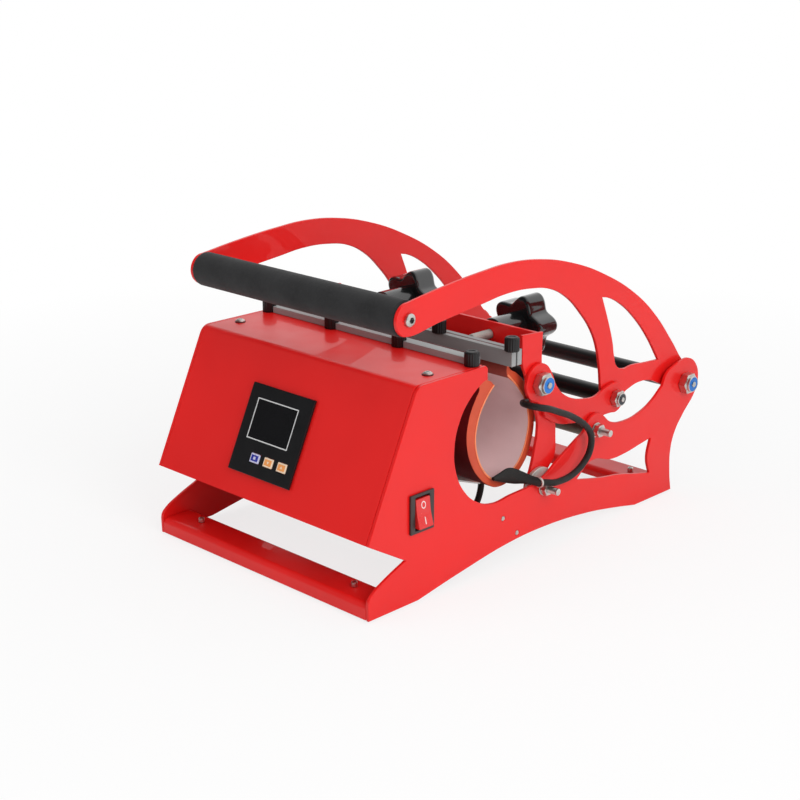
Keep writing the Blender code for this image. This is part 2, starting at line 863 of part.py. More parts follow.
def housing(panel):
    red = finish("red_paint", RED, 0.3)
    path = rounded_path([PANEL_FOOT, PANEL_BEND, (COVER_REAR, PANEL_BEND[1])], COVER_BEND, 5)
    cover = add(bent_sheet("housing_cover", path, INNER_HALF, COVER_SHEET, -1), red)
    half = (CONTROLLER_BODY + CUTOUT_PLAY) / 2
    window = helper(
        box(
            "controller_cutout",
            (CONTROLLER_X - half, CONTROLLER_UP - half, -OVERRUN),
            (CONTROLLER_X + half, CONTROLLER_UP + half, OVERRUN),
        )
    )
    window.parent = panel
    combine(cover, window, "DIFFERENCE")
    for sign in (-1, 1):
        place = (sign * COVER_SCREW_X, COVER_SCREW_SHARE * SIDE_LENGTH, PANEL_BEND[1])
        radius = COVER_SCREW + BOLT_CLEARANCE
        ends = [(-OVERRUN, 0), (-OVERRUN, radius), (OVERRUN, radius), (OVERRUN, 0)]
        combine(cover, helper(turned("cover_screw_hole", ends, place, "Z", CAP_SIDES)), "DIFFERENCE")

    wall_radius = MUG_OPENING_RADIUS + REAR_WALL_CLEARANCE
    wall = arc(MUG_OPENING, wall_radius, REAR_WALL_TOP_ANGLE, REAR_WALL_FOOT_ANGLE, 9)
    ceiling = PANEL_BEND[1] - COVER_SHEET - GAP
    floor = PANEL_FOOT[1] + COVER_SHEET
    front = PANEL_FOOT[0] + BEND_RADIUS
    corner = [wall[-1], (wall[-1][0], floor), (front, floor)]
    path = [(wall[0][0], ceiling), *wall[:-1], *rounded_path(corner, BEND_RADIUS)]
    rear = add(bent_sheet("housing_rear_wall_and_floor", path, INNER_HALF, THIN_SHEET, -1), red)
    radius = GLAND_NECK + BOLT_CLEARANCE
    ends = [(-OVERRUN, 0), (-OVERRUN, radius), (OVERRUN, radius), (OVERRUN, 0)]
    place = (HALF_WIDTH - GLAND_INSET, GLAND_Y, floor)
    hole = helper(turned("gland_hole", ends, place, "Z", CAP_SIDES))
    combine(rear, hole, "DIFFERENCE")
    face = HALF_WIDTH + GAP
    for sign, depth, length in (
        (-1, INLET_BODY_DEPTH, INLET_BODY_LENGTH),
        (1, SWITCH_BODY_DEPTH, SWITCH_BODY_LENGTH),
    ):
        ends = sorted((sign * (face - length - CUTOUT_PLAY), sign * face))
        reach = depth / 2 + CUTOUT_PLAY
        notch = box(
            "floor_notch",
            (ends[0], SWITCH[0] - reach, floor - OVERRUN),
            (ends[1], SWITCH[0] + reach, floor + OVERRUN),
        )
        combine(rear, helper(notch), "DIFFERENCE")

    start = arc(MUG_OPENING, wall_radius - GAP, BRACKET_ANGLE, BRACKET_ANGLE + 1, 2)[0]
    end = (start[0] + BRACKET_DEPTH, start[1] - BRACKET_DROP)
    shelf = (start[0] + BRACKET_DEPTH / 6, start[1])
    path = rounded_path([start, shelf, end], BEND_RADIUS)
    bracket = bent_sheet("lead_bracket", path, INNER_HALF, THIN_SHEET, -1)
    add(bracket, finish("bare_sheet", ALUMINIUM, 0.45, 0.8))


def cover_screws():
    steel = finish("zinc", STEEL, 0.25, 1.0)
    for name, sign in (("cover_screw_left", -1), ("cover_screw_right", 1)):
        profile = [
            (-COVER_SCREW_LENGTH, 0),
            (-COVER_SCREW_LENGTH, COVER_SCREW),
            (GAP, COVER_SCREW),
            (GAP, COVER_SCREW_HEAD),
            (COVER_SCREW_HEAD_HEIGHT / 2, COVER_SCREW_HEAD),
            (COVER_SCREW_HEAD_HEIGHT, COVER_SCREW_HEAD / 2),
            (COVER_SCREW_HEAD_HEIGHT, 0),
        ]
        place = (sign * COVER_SCREW_X, COVER_SCREW_SHARE * SIDE_LENGTH, PANEL_BEND[1])
        add(turned(name, profile, place, "Z", CAP_SIDES), steel)


def foot_bars():
    red = finish("red_paint", RED, 0.3)
    rubber = finish("foot_rubber", BLACK, 0.8)
    reach = SIDE_LENGTH / 2 - GAP
    for end, sign in (("front", -1), ("rear", 1)):
        outer = sign * reach
        inner = sign * (reach - FOOT_BAR_DEPTH)
        lip = FOOT_BAR_HEIGHT - FOOT_BAR_LIP
        corners = [(outer, GAP), (outer, FOOT_BAR_HEIGHT), (inner, FOOT_BAR_HEIGHT), (inner, lip)]
        path = rounded_path(corners, FOOT_BAR_BEND)
        bar = add(bent_sheet(end + "_foot_bar", path, INNER_HALF, CHANNEL_SHEET, sign), red)
        hole_y = sign * (reach - FOOT_HOLE_INSET)
        for side_name, across in (("left", -1), ("right", 1)):
            place = (across * FOOT_X, hole_y, FOOT_BAR_HEIGHT)
            radius = FOOT_SCREW + BOLT_CLEARANCE
            ends = [(-OVERRUN, 0), (-OVERRUN, radius), (OVERRUN, radius), (OVERRUN, 0)]
            combine(bar, helper(turned("foot_screw_hole", ends, place, "Z", CAP_SIDES)), "DIFFERENCE")
            seat = -CHANNEL_SHEET - GAP
            sole = -FOOT_BAR_HEIGHT - FOOT_DROP
            profile = [
                (sole, 0),
                (sole, FOOT_RADIUS - CAP_EDGE),
                (sole + CAP_EDGE, FOOT_RADIUS),
                (seat, FOOT_RADIUS),
                (seat, FOOT_SCREW),
                (GAP, FOOT_SCREW),
                (GAP, FOOT_SCREW_HEAD),
                (FOOT_SCREW_HEAD_HEIGHT, FOOT_SCREW_HEAD),
                (FOOT_SCREW_HEAD_HEIGHT, 0),
            ]
            foot = turned(f"rubber_foot_{end}_{side_name}", profile, place, "Z", CAP_SIDES)
            add(foot, rubber)


def controller(panel):
    black = finish("controller_black", BLACK, 0.4)
    half = CONTROLLER_SIZE / 2
    case = box(
        "controller_case",
        (CONTROLLER_X - half, CONTROLLER_UP - half, GAP),
        (CONTROLLER_X + half, CONTROLLER_UP + half, CONTROLLER_BEZEL),
    )
    add(case, black)
    case.parent = panel
    body = CONTROLLER_BODY / 2
    back = helper(
        box(
            "controller_body",
            (CONTROLLER_X - body, CONTROLLER_UP - body, -CONTROLLER_DEPTH),
            (CONTROLLER_X + body, CONTROLLER_UP + body, CONTROLLER_BEZEL / 2),
        )
    )
    back.parent = panel
    combine(case, back, "UNION")

    screen_x = CONTROLLER_X + SCREEN_X
    screen_up = CONTROLLER_UP + SCREEN_UP
    low = (screen_x - SCREEN_WIDTH / 2, screen_up - SCREEN_HEIGHT / 2)
    high = (screen_x + SCREEN_WIDTH / 2, screen_up + SCREEN_HEIGHT / 2)
    seat = CONTROLLER_BEZEL - SCREEN_RECESS
    recess = helper(box("screen_recess", (*low, seat), (*high, OVERRUN)))
    recess.parent = panel
    combine(case, recess, "DIFFERENCE")
    glass = box(
        "controller_screen",
        (low[0] + GAP, low[1] + GAP, seat + GAP),
        (high[0] - GAP, high[1] - GAP, seat + GAP + SCREEN_GLASS),
    )
    add(glass, finish("screen_glass", BLACK, 0.08))
    glass.parent = panel

    for number, name in enumerate(("button_left", "button_middle", "button_right")):
        x = CONTROLLER_X + BUTTON_ROW_X + (number - 1) * BUTTON_PITCH
        up = CONTROLLER_UP - BUTTON_DROP
        play = BUTTON_PLAY
        pocket = helper(
            box(
                name + "_pocket",
                (
                    x - BUTTON_WIDTH / 2 - play,
                    up - BUTTON_HEIGHT / 2 - play,
                    CONTROLLER_BEZEL - BUTTON_POCKET,
                ),
                (x + BUTTON_WIDTH / 2 + play, up + BUTTON_HEIGHT / 2 + play, OVERRUN),
            )
        )
        pocket.parent = panel
        combine(case, pocket, "DIFFERENCE")
        foot = -BUTTON_POCKET + BUTTON_TRAVEL + GAP
        button = box(
            name,
            (-BUTTON_WIDTH / 2, -BUTTON_HEIGHT / 2, foot),
            (BUTTON_WIDTH / 2, BUTTON_HEIGHT / 2, BUTTON_PROUD),
        )
        color = (0.05, 0.2, 0.75) if number == 0 else (0.85, 0.3, 0.03)
        add(button, finish("button_blue" if number == 0 else "button_orange", color, 0.4))
        button.parent = panel
        button.location = (x, up, CONTROLLER_BEZEL)


def rocker_switch():
    black = finish("switch_black", BLACK, 0.45)
    y, z = SWITCH
    face = HALF_WIDTH + GAP
    front = face + SWITCH_BEZEL
    bezel = box(
        "rocker_bezel",
        (face, y - SWITCH_BEZEL_DEPTH / 2, z - SWITCH_BEZEL_HEIGHT / 2),
        (front, y + SWITCH_BEZEL_DEPTH / 2, z + SWITCH_BEZEL_HEIGHT / 2),
    )
    add(bezel, black)
    body = box(
        "rocker_body",
        (face - SWITCH_BODY_LENGTH, y - SWITCH_BODY_DEPTH / 2, z - SWITCH_BODY_HEIGHT / 2),
        (face + SWITCH_BEZEL / 2, y + SWITCH_BODY_DEPTH / 2, z + SWITCH_BODY_HEIGHT / 2),
    )
    combine(bezel, helper(body), "UNION")
    axis_x = front - PADDLE_SEAT
    well = box(
        "rocker_well",
        (axis_x - PADDLE_POCKET, y - PADDLE_DEPTH / 2 - GAP, z - PADDLE_POCKET_HALF),
        (front + OVERRUN, y + PADDLE_DEPTH / 2 + GAP, z + PADDLE_POCKET_HALF),
    )
    combine(bezel, helper(well), "DIFFERENCE")

    pivot = pivot_empty("rocker_pivot", (axis_x, y, z))
    section = [
        (PADDLE_PROUD, -PADDLE_HALF),
        (PADDLE_MIDDLE, 0),
        (PADDLE_SUNK, PADDLE_HALF),
        (-PADDLE_HEEL, PADDLE_HALF),
        (-PADDLE_KEEL, PADDLE_KEEL_HALF),
        (-PADDLE_KEEL, -PADDLE_KEEL_HALF),
        (PADDLE_SUNK, -PADDLE_HALF),
    ]
    edit = bmesh.new()
    rings = []
    for across in (-PADDLE_DEPTH / 2, PADDLE_DEPTH / 2):
        rings.append([edit.verts.new((axis_x + a, y + across, z + b)) for a, b in section])
    edit.faces.new(rings[0])
    edit.faces.new(rings[1])
    for near in range(len(section)):
        far = (near + 1) % len(section)
        edit.faces.new((rings[0][near], rings[0][far], rings[1][far], rings[1][near]))
    bmesh.ops.recalc_face_normals(edit, faces=edit.faces)
    mesh = bpy.data.meshes.new("rocker_paddle")
    edit.to_mesh(mesh)
    edit.free()
    paddle = bpy.data.objects.new("rocker_paddle", mesh)
    add(paddle, finish("paddle_red", (0.75, 0.02, 0.015), 0.35), pivot)


def mains_inlet():
    black = finish("switch_black", BLACK, 0.45)
    y, z = SWITCH
    face = HALF_WIDTH + GAP
    front = face + SWITCH_BEZEL
    bezel = box(
        "mains_inlet",
        (-front, y - INLET_BEZEL_DEPTH / 2, z - INLET_BEZEL_HEIGHT / 2),
        (-face, y + INLET_BEZEL_DEPTH / 2, z + INLET_BEZEL_HEIGHT / 2),
    )
    add(bezel, black)
    body = box(
        "inlet_body",
        (-face - SWITCH_BEZEL / 2, y - INLET_BODY_DEPTH / 2, z - INLET_BODY_HEIGHT / 2),
        (INLET_BODY_LENGTH - face, y + INLET_BODY_DEPTH / 2, z + INLET_BODY_HEIGHT / 2),
    )
    combine(bezel, helper(body), "UNION")
    bottom = INLET_SOCKET_LENGTH - front
    socket = box(
        "inlet_socket",
        (-front - OVERRUN, y - INLET_SOCKET_DEPTH / 2, z - INLET_SOCKET_HEIGHT / 2),
        (bottom, y + INLET_SOCKET_DEPTH / 2, z + INLET_SOCKET_HEIGHT / 2),
    )
    combine(bezel, helper(socket), "DIFFERENCE")
    for number in (-1, 0, 1):
        rise = INLET_PIN_RISE if number == 0 else -INLET_PIN_RISE
        pin_y = y + number * INLET_PIN_PITCH
        pin = box(
            "inlet_pin",
            (bottom - INLET_PIN_LENGTH, pin_y - INLET_PIN_THICKNESS / 2, z + rise - INLET_PIN_WIDTH / 2),
            (bottom + OVERRUN / 2, pin_y + INLET_PIN_THICKNESS / 2, z + rise + INLET_PIN_WIDTH / 2),
        )
        combine(bezel, helper(pin), "UNION")


def knurled_cap(name, place, pivot=None):
    profile = [
        (0, 0),
        (0, CAP_RADIUS),
        (CAP_HEIGHT - CAP_EDGE, CAP_RADIUS),
        (CAP_HEIGHT, CAP_RADIUS - CAP_EDGE),
        (CAP_HEIGHT, 0),
    ]
    cap = turned(name, profile, place, "Z", CAP_SIDES)
    return add(cap, finish("cap_black", BLACK, 0.55), pivot)


def cap_places():
    """The four caps of a bar, spread evenly from end to end."""
    reach = BAR_HALF_LENGTH - CAP_END_INSET
    for number in range(4):
        yield number + 1, (2 * number / 3 - 1) * reach


def front_bar():
    bar = box(
        "front_clamp_bar",
        (-BAR_HALF_LENGTH, FRONT_BAR_FRONT, BAR_SEAT),
        (BAR_HALF_LENGTH, FRONT_BAR_REAR, BAR_SEAT + FRONT_BAR_HEIGHT),
    )
    add(bar, finish("aluminium", ALUMINIUM, 0.35, 1.0))
    for number, x in cap_places():
        place = (x, FRONT_CAP_Y, BAR_SEAT)
        radius = CAP_RADIUS + CAP_CLEARANCE
        ends = [(-OVERRUN, 0), (-OVERRUN, radius), (2 * OVERRUN, radius), (2 * OVERRUN, 0)]
        notch = helper(turned(f"front_cap_notch_{number}", ends, place, "Z", ROUND_SIDES))
        combine(bar, notch, "DIFFERENCE")
        knurled_cap(f"front_cap_{number}", (x, FRONT_CAP_Y, BAR_SEAT))


def rear_bar_planes():
    """The y of the rear bar's faces, from its rear face, which seats on the clamp's flanges."""
    rear = FLANGE_TOP_SHARES[0][0] * SIDE_LENGTH - GAP
    edge_rear = rear - REAR_BAR_STRIP - GAP
    edge_front = edge_rear - MAT_EDGE
    front = edge_front - GAP - REAR_BAR_STRIP
    return front, edge_front, edge_rear, rear


def rear_bar(pivot):
    aluminium = finish("aluminium", ALUMINIUM, 0.35, 1.0)
    front, edge_front, edge_rear, rear = rear_bar_planes()
    low = REAR_BAR_FOOT_SHARE * SIDE_HEIGHT
    high = low + REAR_BAR_HEIGHT
    strips = (
        ("rear_bar_front_strip", front, edge_front - GAP),
        ("rear_bar_rear_strip", edge_rear + GAP, rear),
    )
    for name, near, far in strips:
        strip = box(name, (-BAR_HALF_LENGTH, near, low), (BAR_HALF_LENGTH, far, high))
        add(strip, aluminium, pivot)
    for number, x in cap_places():
        knurled_cap(f"rear_cap_{number}", (x, front + REAR_CAP_INSET, high + GAP), pivot)


def heating_mat():
    front = FRONT_BAR_REAR + GAP
    _, edge_front, edge_rear, _ = rear_bar_planes()
    top = BAR_SEAT + FRONT_BAR_HEIGHT
    rear_top = REAR_BAR_FOOT_SHARE * SIDE_HEIGHT + REAR_BAR_HEIGHT - GAP
    neck = REAR_BAR_FOOT_SHARE * SIDE_HEIGHT - GAP
    loop = (
        [(front, top, 1), (front, BAR_SEAT - FRONT_BAR_HEIGHT, 1)]
        + outline(MAT_SHOULDER_SHARES)
        + outline(MAT_OUTER_SHARES)
        + [(edge_rear, neck, 1), (edge_rear, rear_top, 1), (edge_front, rear_top, 1)]
        + [(edge_front, neck, 1)]
        + outline(MAT_INNER_SHARES)
        + outline(MAT_FLAP_SHARES)
        + [(front + MAT_EDGE, BAR_SEAT - FRONT_BAR_HEIGHT, 1), (front + MAT_EDGE, top, 1)]
    )
    silicone = finish("mat_silicone", (0.68, 0.12, 0.05), 0.6)
    side_plate("heating_mat", [loop], 0, 2 * MAT_HALF_LENGTH, silicone)


def flange_outline():
    return (
        outline(FLANGE_TOP_SHARES)
        + outline(FLANGE_REAR_SHARES)
        + arc(CLAMP_PIVOT, CLAMP_LOBE, 30, -205, 7)
        + outline(FLANGE_FRONT_SHARES)
    )


def swing_clamp(pivot):
    red = finish("red_paint", RED, 0.3)
    rear = FLANGE_REAR_SHARES[0][0] * SIDE_LENGTH - GAP
    high = FLANGE_TOP_SHARES[1][1] * SIDE_HEIGHT - BACK_PLATE_TOP_GAP
    plate = box(
        "swing_clamp",
        (-ARM_X, rear - SHEET, high - BACK_PLATE_DROP),
        (ARM_X, rear, high),
    )
    add(plate, red, pivot)
    hole = circle(CLAMP_PIVOT, SMALL_BOLT + BOLT_CLEARANCE)
    for sign in (-1, 1):
        flange = as_mesh(flat_curve("flange", [flange_outline(), hole], SHEET))
        combine(plate, helper(face_side(flange, sign * ARM_X)), "UNION")
        head = [
            (ARM_INSIDE - ELBOW_HEAD_HEIGHT, 0),
            (ARM_INSIDE - ELBOW_HEAD_HEIGHT, ELBOW_HEAD),
            (ARM_X, ELBOW_HEAD),
            (ARM_X, 0),
        ]
        bolt_head = helper(turned("elbow_head", sided(head, sign), (0, *ELBOW_PIVOT), "X", CAP_SIDES))
        combine(plate, bolt_head, "UNION")
        place = (sign * KNOB_X, rear, KNOB_HEIGHT_SHARE * SIDE_HEIGHT)
        radius = KNOB_SCREW + BOLT_CLEARANCE
        ends = [(-2 * OVERRUN, 0), (-2 * OVERRUN, radius), (OVERRUN, radius), (OVERRUN, 0)]
        combine(plate, helper(turned("knob_hole", ends, place, "Y", CAP_SIDES)), "DIFFERENCE")
    return rear


def star_knobs(clamp, plate_rear):
    black = finish("knob_black", BLACK, 0.12)
    steel = finish("zinc", STEEL, 0.25, 1.0)
    hub_front = plate_rear + GAP
    hub_rear = hub_front + KNOB_HUB_LENGTH
    rear_bar_face = rear_bar_planes()[3]
    for name, sign in (("left", -1), ("right", 1)):
        z = KNOB_HEIGHT_SHARE * SIDE_HEIGHT
        pivot = pivot_empty(f"{name}_knob_pivot", (sign * KNOB_X, hub_front, z), clamp)
        middle = (KNOB_TIP + KNOB_ROOT) / 2 - KNOB_EDGE
        swell = (KNOB_TIP - KNOB_ROOT) / 2
        star = []
        for step in range(KNOB_POINTS):
            angle = 2 * math.pi * step / KNOB_POINTS
            reach = middle + swell * math.cos(KNOB_LOBES * (angle - math.radians(KNOB_TURN)))
            star.append((reach * math.cos(angle), reach * math.sin(angle), 1))
        knob = as_mesh(flat_curve(f"{name}_star_knob", [star], KNOB_THICKNESS, KNOB_EDGE))
        knob.name = f"{name}_star_knob"
        knob.rotation_euler = (math.radians(90), 0, 0)
        knob.location = (sign * KNOB_X, hub_rear + KNOB_THICKNESS / 2, z)
        add(knob, black, pivot)
        place = (sign * KNOB_X, hub_front, z)
        hub = [
            (0, 0),
            (0, KNOB_HUB),
            (KNOB_HUB_LENGTH + KNOB_THICKNESS / 2, KNOB_HUB),
            (KNOB_HUB_LENGTH + KNOB_THICKNESS / 2, 0),
        ]
        combine(knob, helper(turned("knob_hub", hub, place, "Y")), "UNION")
        radius = KNOB_SCREW + BOLT_CLEARANCE
        depth = KNOB_SCREW_GRIP + GAP
        bore = [(-OVERRUN, 0), (-OVERRUN, radius), (depth, radius), (depth, 0)]
        combine(knob, helper(turned("knob_bore", bore, place, "Y", CAP_SIDES)), "DIFFERENCE")
        start = rear_bar_face + GAP - hub_front
        rod = [(start, 0), (start, KNOB_SCREW), (KNOB_SCREW_GRIP, KNOB_SCREW), (KNOB_SCREW_GRIP, 0)]
        add(turned(f"{name}_pressure_screw", rod, place, "Y", CAP_SIDES), steel, pivot)


def arms(pivot):
    red = finish("red_paint", RED, 0.3)
    loop = (
        arc(HANDLE, HANDLE_LOBE, 250, 85, 7)
        + outline(ARM_OUTER_SHARES)
        + arc(ARM_PIVOT, ARM_LOBE, 72, -170, 7)
        + outline(ARM_HEEL_SHARES)
        + arc(KNEE_PIVOT, KNEE_LOBE, -15, -185, 6)
        + outline(ARM_INNER_SHARES)
    )
    holes = [
        outline(ARM_WINDOW_SHARES),
        circle(ARM_PIVOT, ARM_BOLT + BOLT_CLEARANCE),
        circle(KNEE_PIVOT, KNEE_BOLT + BOLT_CLEARANCE),
        circle(HANDLE, HANDLE_BOLT + BOLT_CLEARANCE),
    ]
    for name, sign in (("left_arm", -1), ("right_arm", 1)):
        side_plate(name, [loop, *holes], sign * ARM_X, SHEET, red, pivot)


def handle(pivot):
    end = ARM_INSIDE - GAP
    head = ARM_OUTSIDE + GAP
    half = [
        (end, HANDLE_CORE),
        (end, HANDLE_BOLT),
        (head, HANDLE_BOLT),
        (head, HANDLE_HEAD),
        (head + HANDLE_HEAD_EDGE, HANDLE_HEAD),
        (head + HANDLE_HEAD_HEIGHT, HANDLE_HEAD / 2),
        (head + HANDLE_HEAD_HEIGHT, 0),
    ]
    core = turned("handle_core", both_ways(half), (0, *HANDLE), "X", BOLT_SIDES)
    add(core, finish("zinc", STEEL, 0.25, 1.0), pivot)
    grip = tube("handle_grip", end, GRIP_RADIUS, HANDLE_CORE + GAP, HANDLE)
    add(grip, finish("grip_foam", (0.02, 0.02, 0.021), 0.8), pivot)


def links(pivot):
    red = finish("red_paint", RED, 0.3)
    rest = (STOP[0], STOP[1] + STOP_SLEEVE + REST_GAP)
    loop = (
        arc(ELBOW_PIVOT, ELBOW_LOBE, 30, 262, 8)
        + outline(LINK_LOWER_SHARES)
        + [rest]
        + arc(KNEE_PIVOT, KNEE_LOBE, -112, 95, 7)
        + outline(LINK_UPPER_SHARES)
    )
    holes = [
        circle(ELBOW_PIVOT, ARM_BOLT + BOLT_CLEARANCE),
        circle(KNEE_PIVOT, KNEE_BOLT + BOLT_CLEARANCE),
    ]
    for name, sign in (("left_link", -1), ("right_link", 1)):
        side_plate(name, [loop, *holes], sign * LINK_X, SHEET, red, pivot)


def pivot_bolts(arm, link):
    steel = finish("zinc", STEEL, 0.25, 1.0)
    face = HALF_WIDTH + GAP
    half = [
        (ARM_OUTSIDE + GAP, ARM_BOLT),
        (ARM_OUTSIDE + GAP, ARM_COLLAR),
        (INNER_HALF, ARM_COLLAR),
        (INNER_HALF, ARM_BOLT),
        (face + ARM_NUT_HEIGHT + BOLT_END, ARM_BOLT),
        (face + ARM_NUT_HEIGHT + BOLT_END, 0),
    ]
    rod = add(turned("arm_pivot_rod", both_ways(half), (0, *ARM_PIVOT), "X", BOLT_SIDES), steel)
    for sign in (-1, 1):
        with_nut(rod, ARM_PIVOT, ARM_NUT_FLATS, face, ARM_NUT_HEIGHT, sign)

    outside = LINK_OUTSIDE + GAP
    half = [
        (outside + KNEE_NUT_HEIGHT + BOLT_END, KNEE_BOLT),
        (outside + KNEE_NUT_HEIGHT + BOLT_END, 0),
    ]
    rod = turned("knee_rod", both_ways(half), (0, *KNEE_PIVOT), "X", BOLT_SIDES)
    add(rod, steel, link)
    for sign in (-1, 1):
        with_nut(rod, KNEE_PIVOT, KNEE_NUT_FLATS, outside, KNEE_NUT_HEIGHT, sign)

    for name, sign in (("left_elbow_bolt", -1), ("right_elbow_bolt", 1)):
        inner = ARM_OUTSIDE + GAP
        outer = outside + ARM_NUT_HEIGHT + BOLT_END
        profile = [(inner, 0), (inner, ARM_BOLT), (outer, ARM_BOLT), (outer, 0)]
        bolt = turned(name, sided(profile, sign), (0, *ELBOW_PIVOT), "X", BOLT_SIDES)
        add(bolt, steel, link)
        with_nut(bolt, ELBOW_PIVOT, ARM_NUT_FLATS, outside, ARM_NUT_HEIGHT, sign)

    black = finish("tube_black", BLACK, 0.35)
    ends = ARM_INSIDE - GAP
    add(tube("arm_cross_tube", ends, CROSS_TUBE, ARM_BOLT + TUBE_BORE_PLAY, ARM_PIVOT), black, arm)
    add(tube("knee_cross_tube", ends, CROSS_TUBE, KNEE_BOLT + TUBE_BORE_PLAY, KNEE_PIVOT), black, arm)


def outer_thread():
    """The part of a small bolt beyond a side plate: washer, room for the nut, and thread."""
    face = HALF_WIDTH + GAP
    washer = face + SMALL_WASHER_HEIGHT
    end = washer + SMALL_NUT_HEIGHT + SMALL_THREAD_REACH
    return [
        (face, SMALL_BOLT),
        (face, SMALL_WASHER),
        (washer, SMALL_WASHER),
        (washer, SMALL_BOLT),
        (end, SMALL_BOLT),
        (end, 0),
    ]


def clamp_bolts():
    steel = finish("zinc", STEEL, 0.25, 1.0)
    washer = HALF_WIDTH + GAP + SMALL_WASHER_HEIGHT
    head = ARM_INSIDE - GAP
    inside = [
        (head - SMALL_HEAD_HEIGHT, 0),
        (head - SMALL_HEAD_HEIGHT, SMALL_HEAD),
        (head, SMALL_HEAD),
        (head, SMALL_BOLT),
    ]
    low = ARM_OUTSIDE + GAP
    ring = [
        (low, SMALL_BOLT + BOLT_CLEARANCE),
        (low, SPACER_DISC),
        (INNER_HALF, SPACER_DISC),
        (INNER_HALF, SMALL_BOLT + BOLT_CLEARANCE),
        (low, SMALL_BOLT + BOLT_CLEARANCE),
    ]
    zinc = finish("spacer_zinc", (0.55, 0.53, 0.5), 0.45, 0.7)
    for name, sign in (("left", -1), ("right", 1)):
        profile = sided(inside + outer_thread(), sign)
        bolt = turned(f"{name}_clamp_bolt", profile, (0, *CLAMP_PIVOT), "X", BOLT_SIDES)
        add(bolt, steel)
        with_nut(bolt, CLAMP_PIVOT, SMALL_NUT_FLATS, washer - GAP, SMALL_NUT_HEIGHT, sign)
        disc = turned(f"{name}_clamp_spacer", sided(ring, sign), (0, *CLAMP_PIVOT), "X")
        add(disc, zinc)

    rod = turned("stop_rod", both_ways(outer_thread()), (0, *STOP), "X", BOLT_SIDES)
    add(rod, steel)
    for sign in (-1, 1):
        with_nut(rod, STOP, SMALL_NUT_FLATS, washer - GAP, SMALL_NUT_HEIGHT, sign)
    sleeve = tube("stop_sleeve", INNER_HALF, STOP_SLEEVE, SMALL_BOLT + TUBE_BORE_PLAY, STOP)
    add(sleeve, finish("bare_tube", (0.30, 0.29, 0.25), 0.4, 0.9))


def spline_points(knots, spacing):
    """Points read about this far apart from a smooth curve through the knots."""
    ends = [knots[0], *knots, knots[-1]]
    found = [knots[0]]
    for a, b, c, d in zip(ends, ends[1:], ends[2:], ends[3:]):
        steps = max(1, round(math.dist(b, c) / spacing))
        for step in range(1, steps + 1):
            t = step / steps
            point = [
                (
                    2 * q
                    + (r - p) * t
                    + (2 * p - 5 * q + 4 * r - s) * t**2
                    + (3 * q - p - 3 * r + s) * t**3
                )
                / 2
                for p, q, r, s in zip(a, b, c, d)
            ]
            found.append(tuple(point))
    return found


def heater_lead():
    black = finish("lead_sleeve", BLACK, 0.6)
    floor = PANEL_FOOT[1] + COVER_SHEET
    gland_foot = floor - GAP - GLAND_HEIGHT
    gland_x = HALF_WIDTH - GLAND_INSET
    end = (gland_x, GLAND_Y, gland_foot - GAP)
    rise = (gland_x, GLAND_Y, end[2] - LEAD_RISE)
    knots = [(HALF_WIDTH + x, y, z) for x, y, z in LEAD_ROUTE]
    route = spline_points(knots + [rise, end], LEAD_SPACING)
    data = bpy.data.curves.new("heater_lead", "CURVE")
    data.dimensions = "3D"
    data.bevel_depth = LEAD_RADIUS
    data.bevel_resolution = 2
    data.use_fill_caps = True
    spline = data.splines.new("POLY")
    spline.points.add(len(route) - 1)
    for knot, point in zip(spline.points, route):
        knot.co = (*point, 1)
    add(bpy.data.objects.new("heater_lead", data), black)

    rings = []
    for (x, y, z), (depth_share, height_share) in zip(SLEEVE_ROUTE, SLEEVE_SHARES):
        ring = []
        for step in range(SLEEVE_SIDES):
            angle = 2 * math.pi * step / SLEEVE_SIDES
            across = depth_share * SLEEVE_RADIUS * math.cos(angle)
            up = height_share * SLEEVE_RADIUS * math.sin(angle)
            ring.append((HALF_WIDTH + x + across, y, z + up))
        rings.append(ring)
    add(loft("lead_sleeve", rings), black)

    neck_top = floor + THIN_SHEET + GLAND_NECK_HEIGHT
    profile = [
        (gland_foot, 0),
        (gland_foot, GLAND_RADIUS - CAP_EDGE),
        (gland_foot + CAP_EDGE, GLAND_RADIUS),
        (floor - GAP, GLAND_RADIUS),
        (floor - GAP, GLAND_NECK),
        (neck_top, GLAND_NECK),
        (neck_top, 0),
    ]
    gland = turned("lead_gland", profile, (gland_x, GLAND_Y, 0), "Z", CAP_SIDES)
    add(gland, finish("gland_black", BLACK, 0.5))


def build():
    side_plates()
    panel = panel_frame()
    housing(panel)
    cover_screws()
    foot_bars()
    controller(panel)
    rocker_switch()
    mains_inlet()
    front_bar()
    heating_mat()
    clamp = pivot_empty("clamp_pivot", (0, *CLAMP_PIVOT))
    rear_bar(clamp)
    plate_rear = swing_clamp(clamp)
    star_knobs(clamp, plate_rear)
    arm = pivot_empty("arm_pivot", (0, *ARM_PIVOT))
    arms(arm)
    handle(arm)
    link = pivot_empty("knee_pivot", (0, *KNEE_PIVOT), arm)
    links(link)
    pivot_bolts(arm, link)
    clamp_bolts()
    heater_lead()


clear_scene()
COLLECTION = new_collection("mug_heat_press")
CUTTERS = new_collection("cutters", hidden=True)
MACHINE = bpy.data.objects.new("machine", None)
COLLECTION.objects.link(MACHINE)
# The footprint runs from the front foot to the lobe behind the arm pivot
MACHINE.location = (0, (SIDE_LENGTH / 2 - ARM_PIVOT[0] - PLATE_ARM_LOBE) / 2, FOOT_DROP)
build()
for made in COLLECTION.objects:
    if made.type == "MESH":
        smooth(made.data)
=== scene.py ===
import json
import math

import bmesh
import bpy
from mathutils import Matrix, Vector

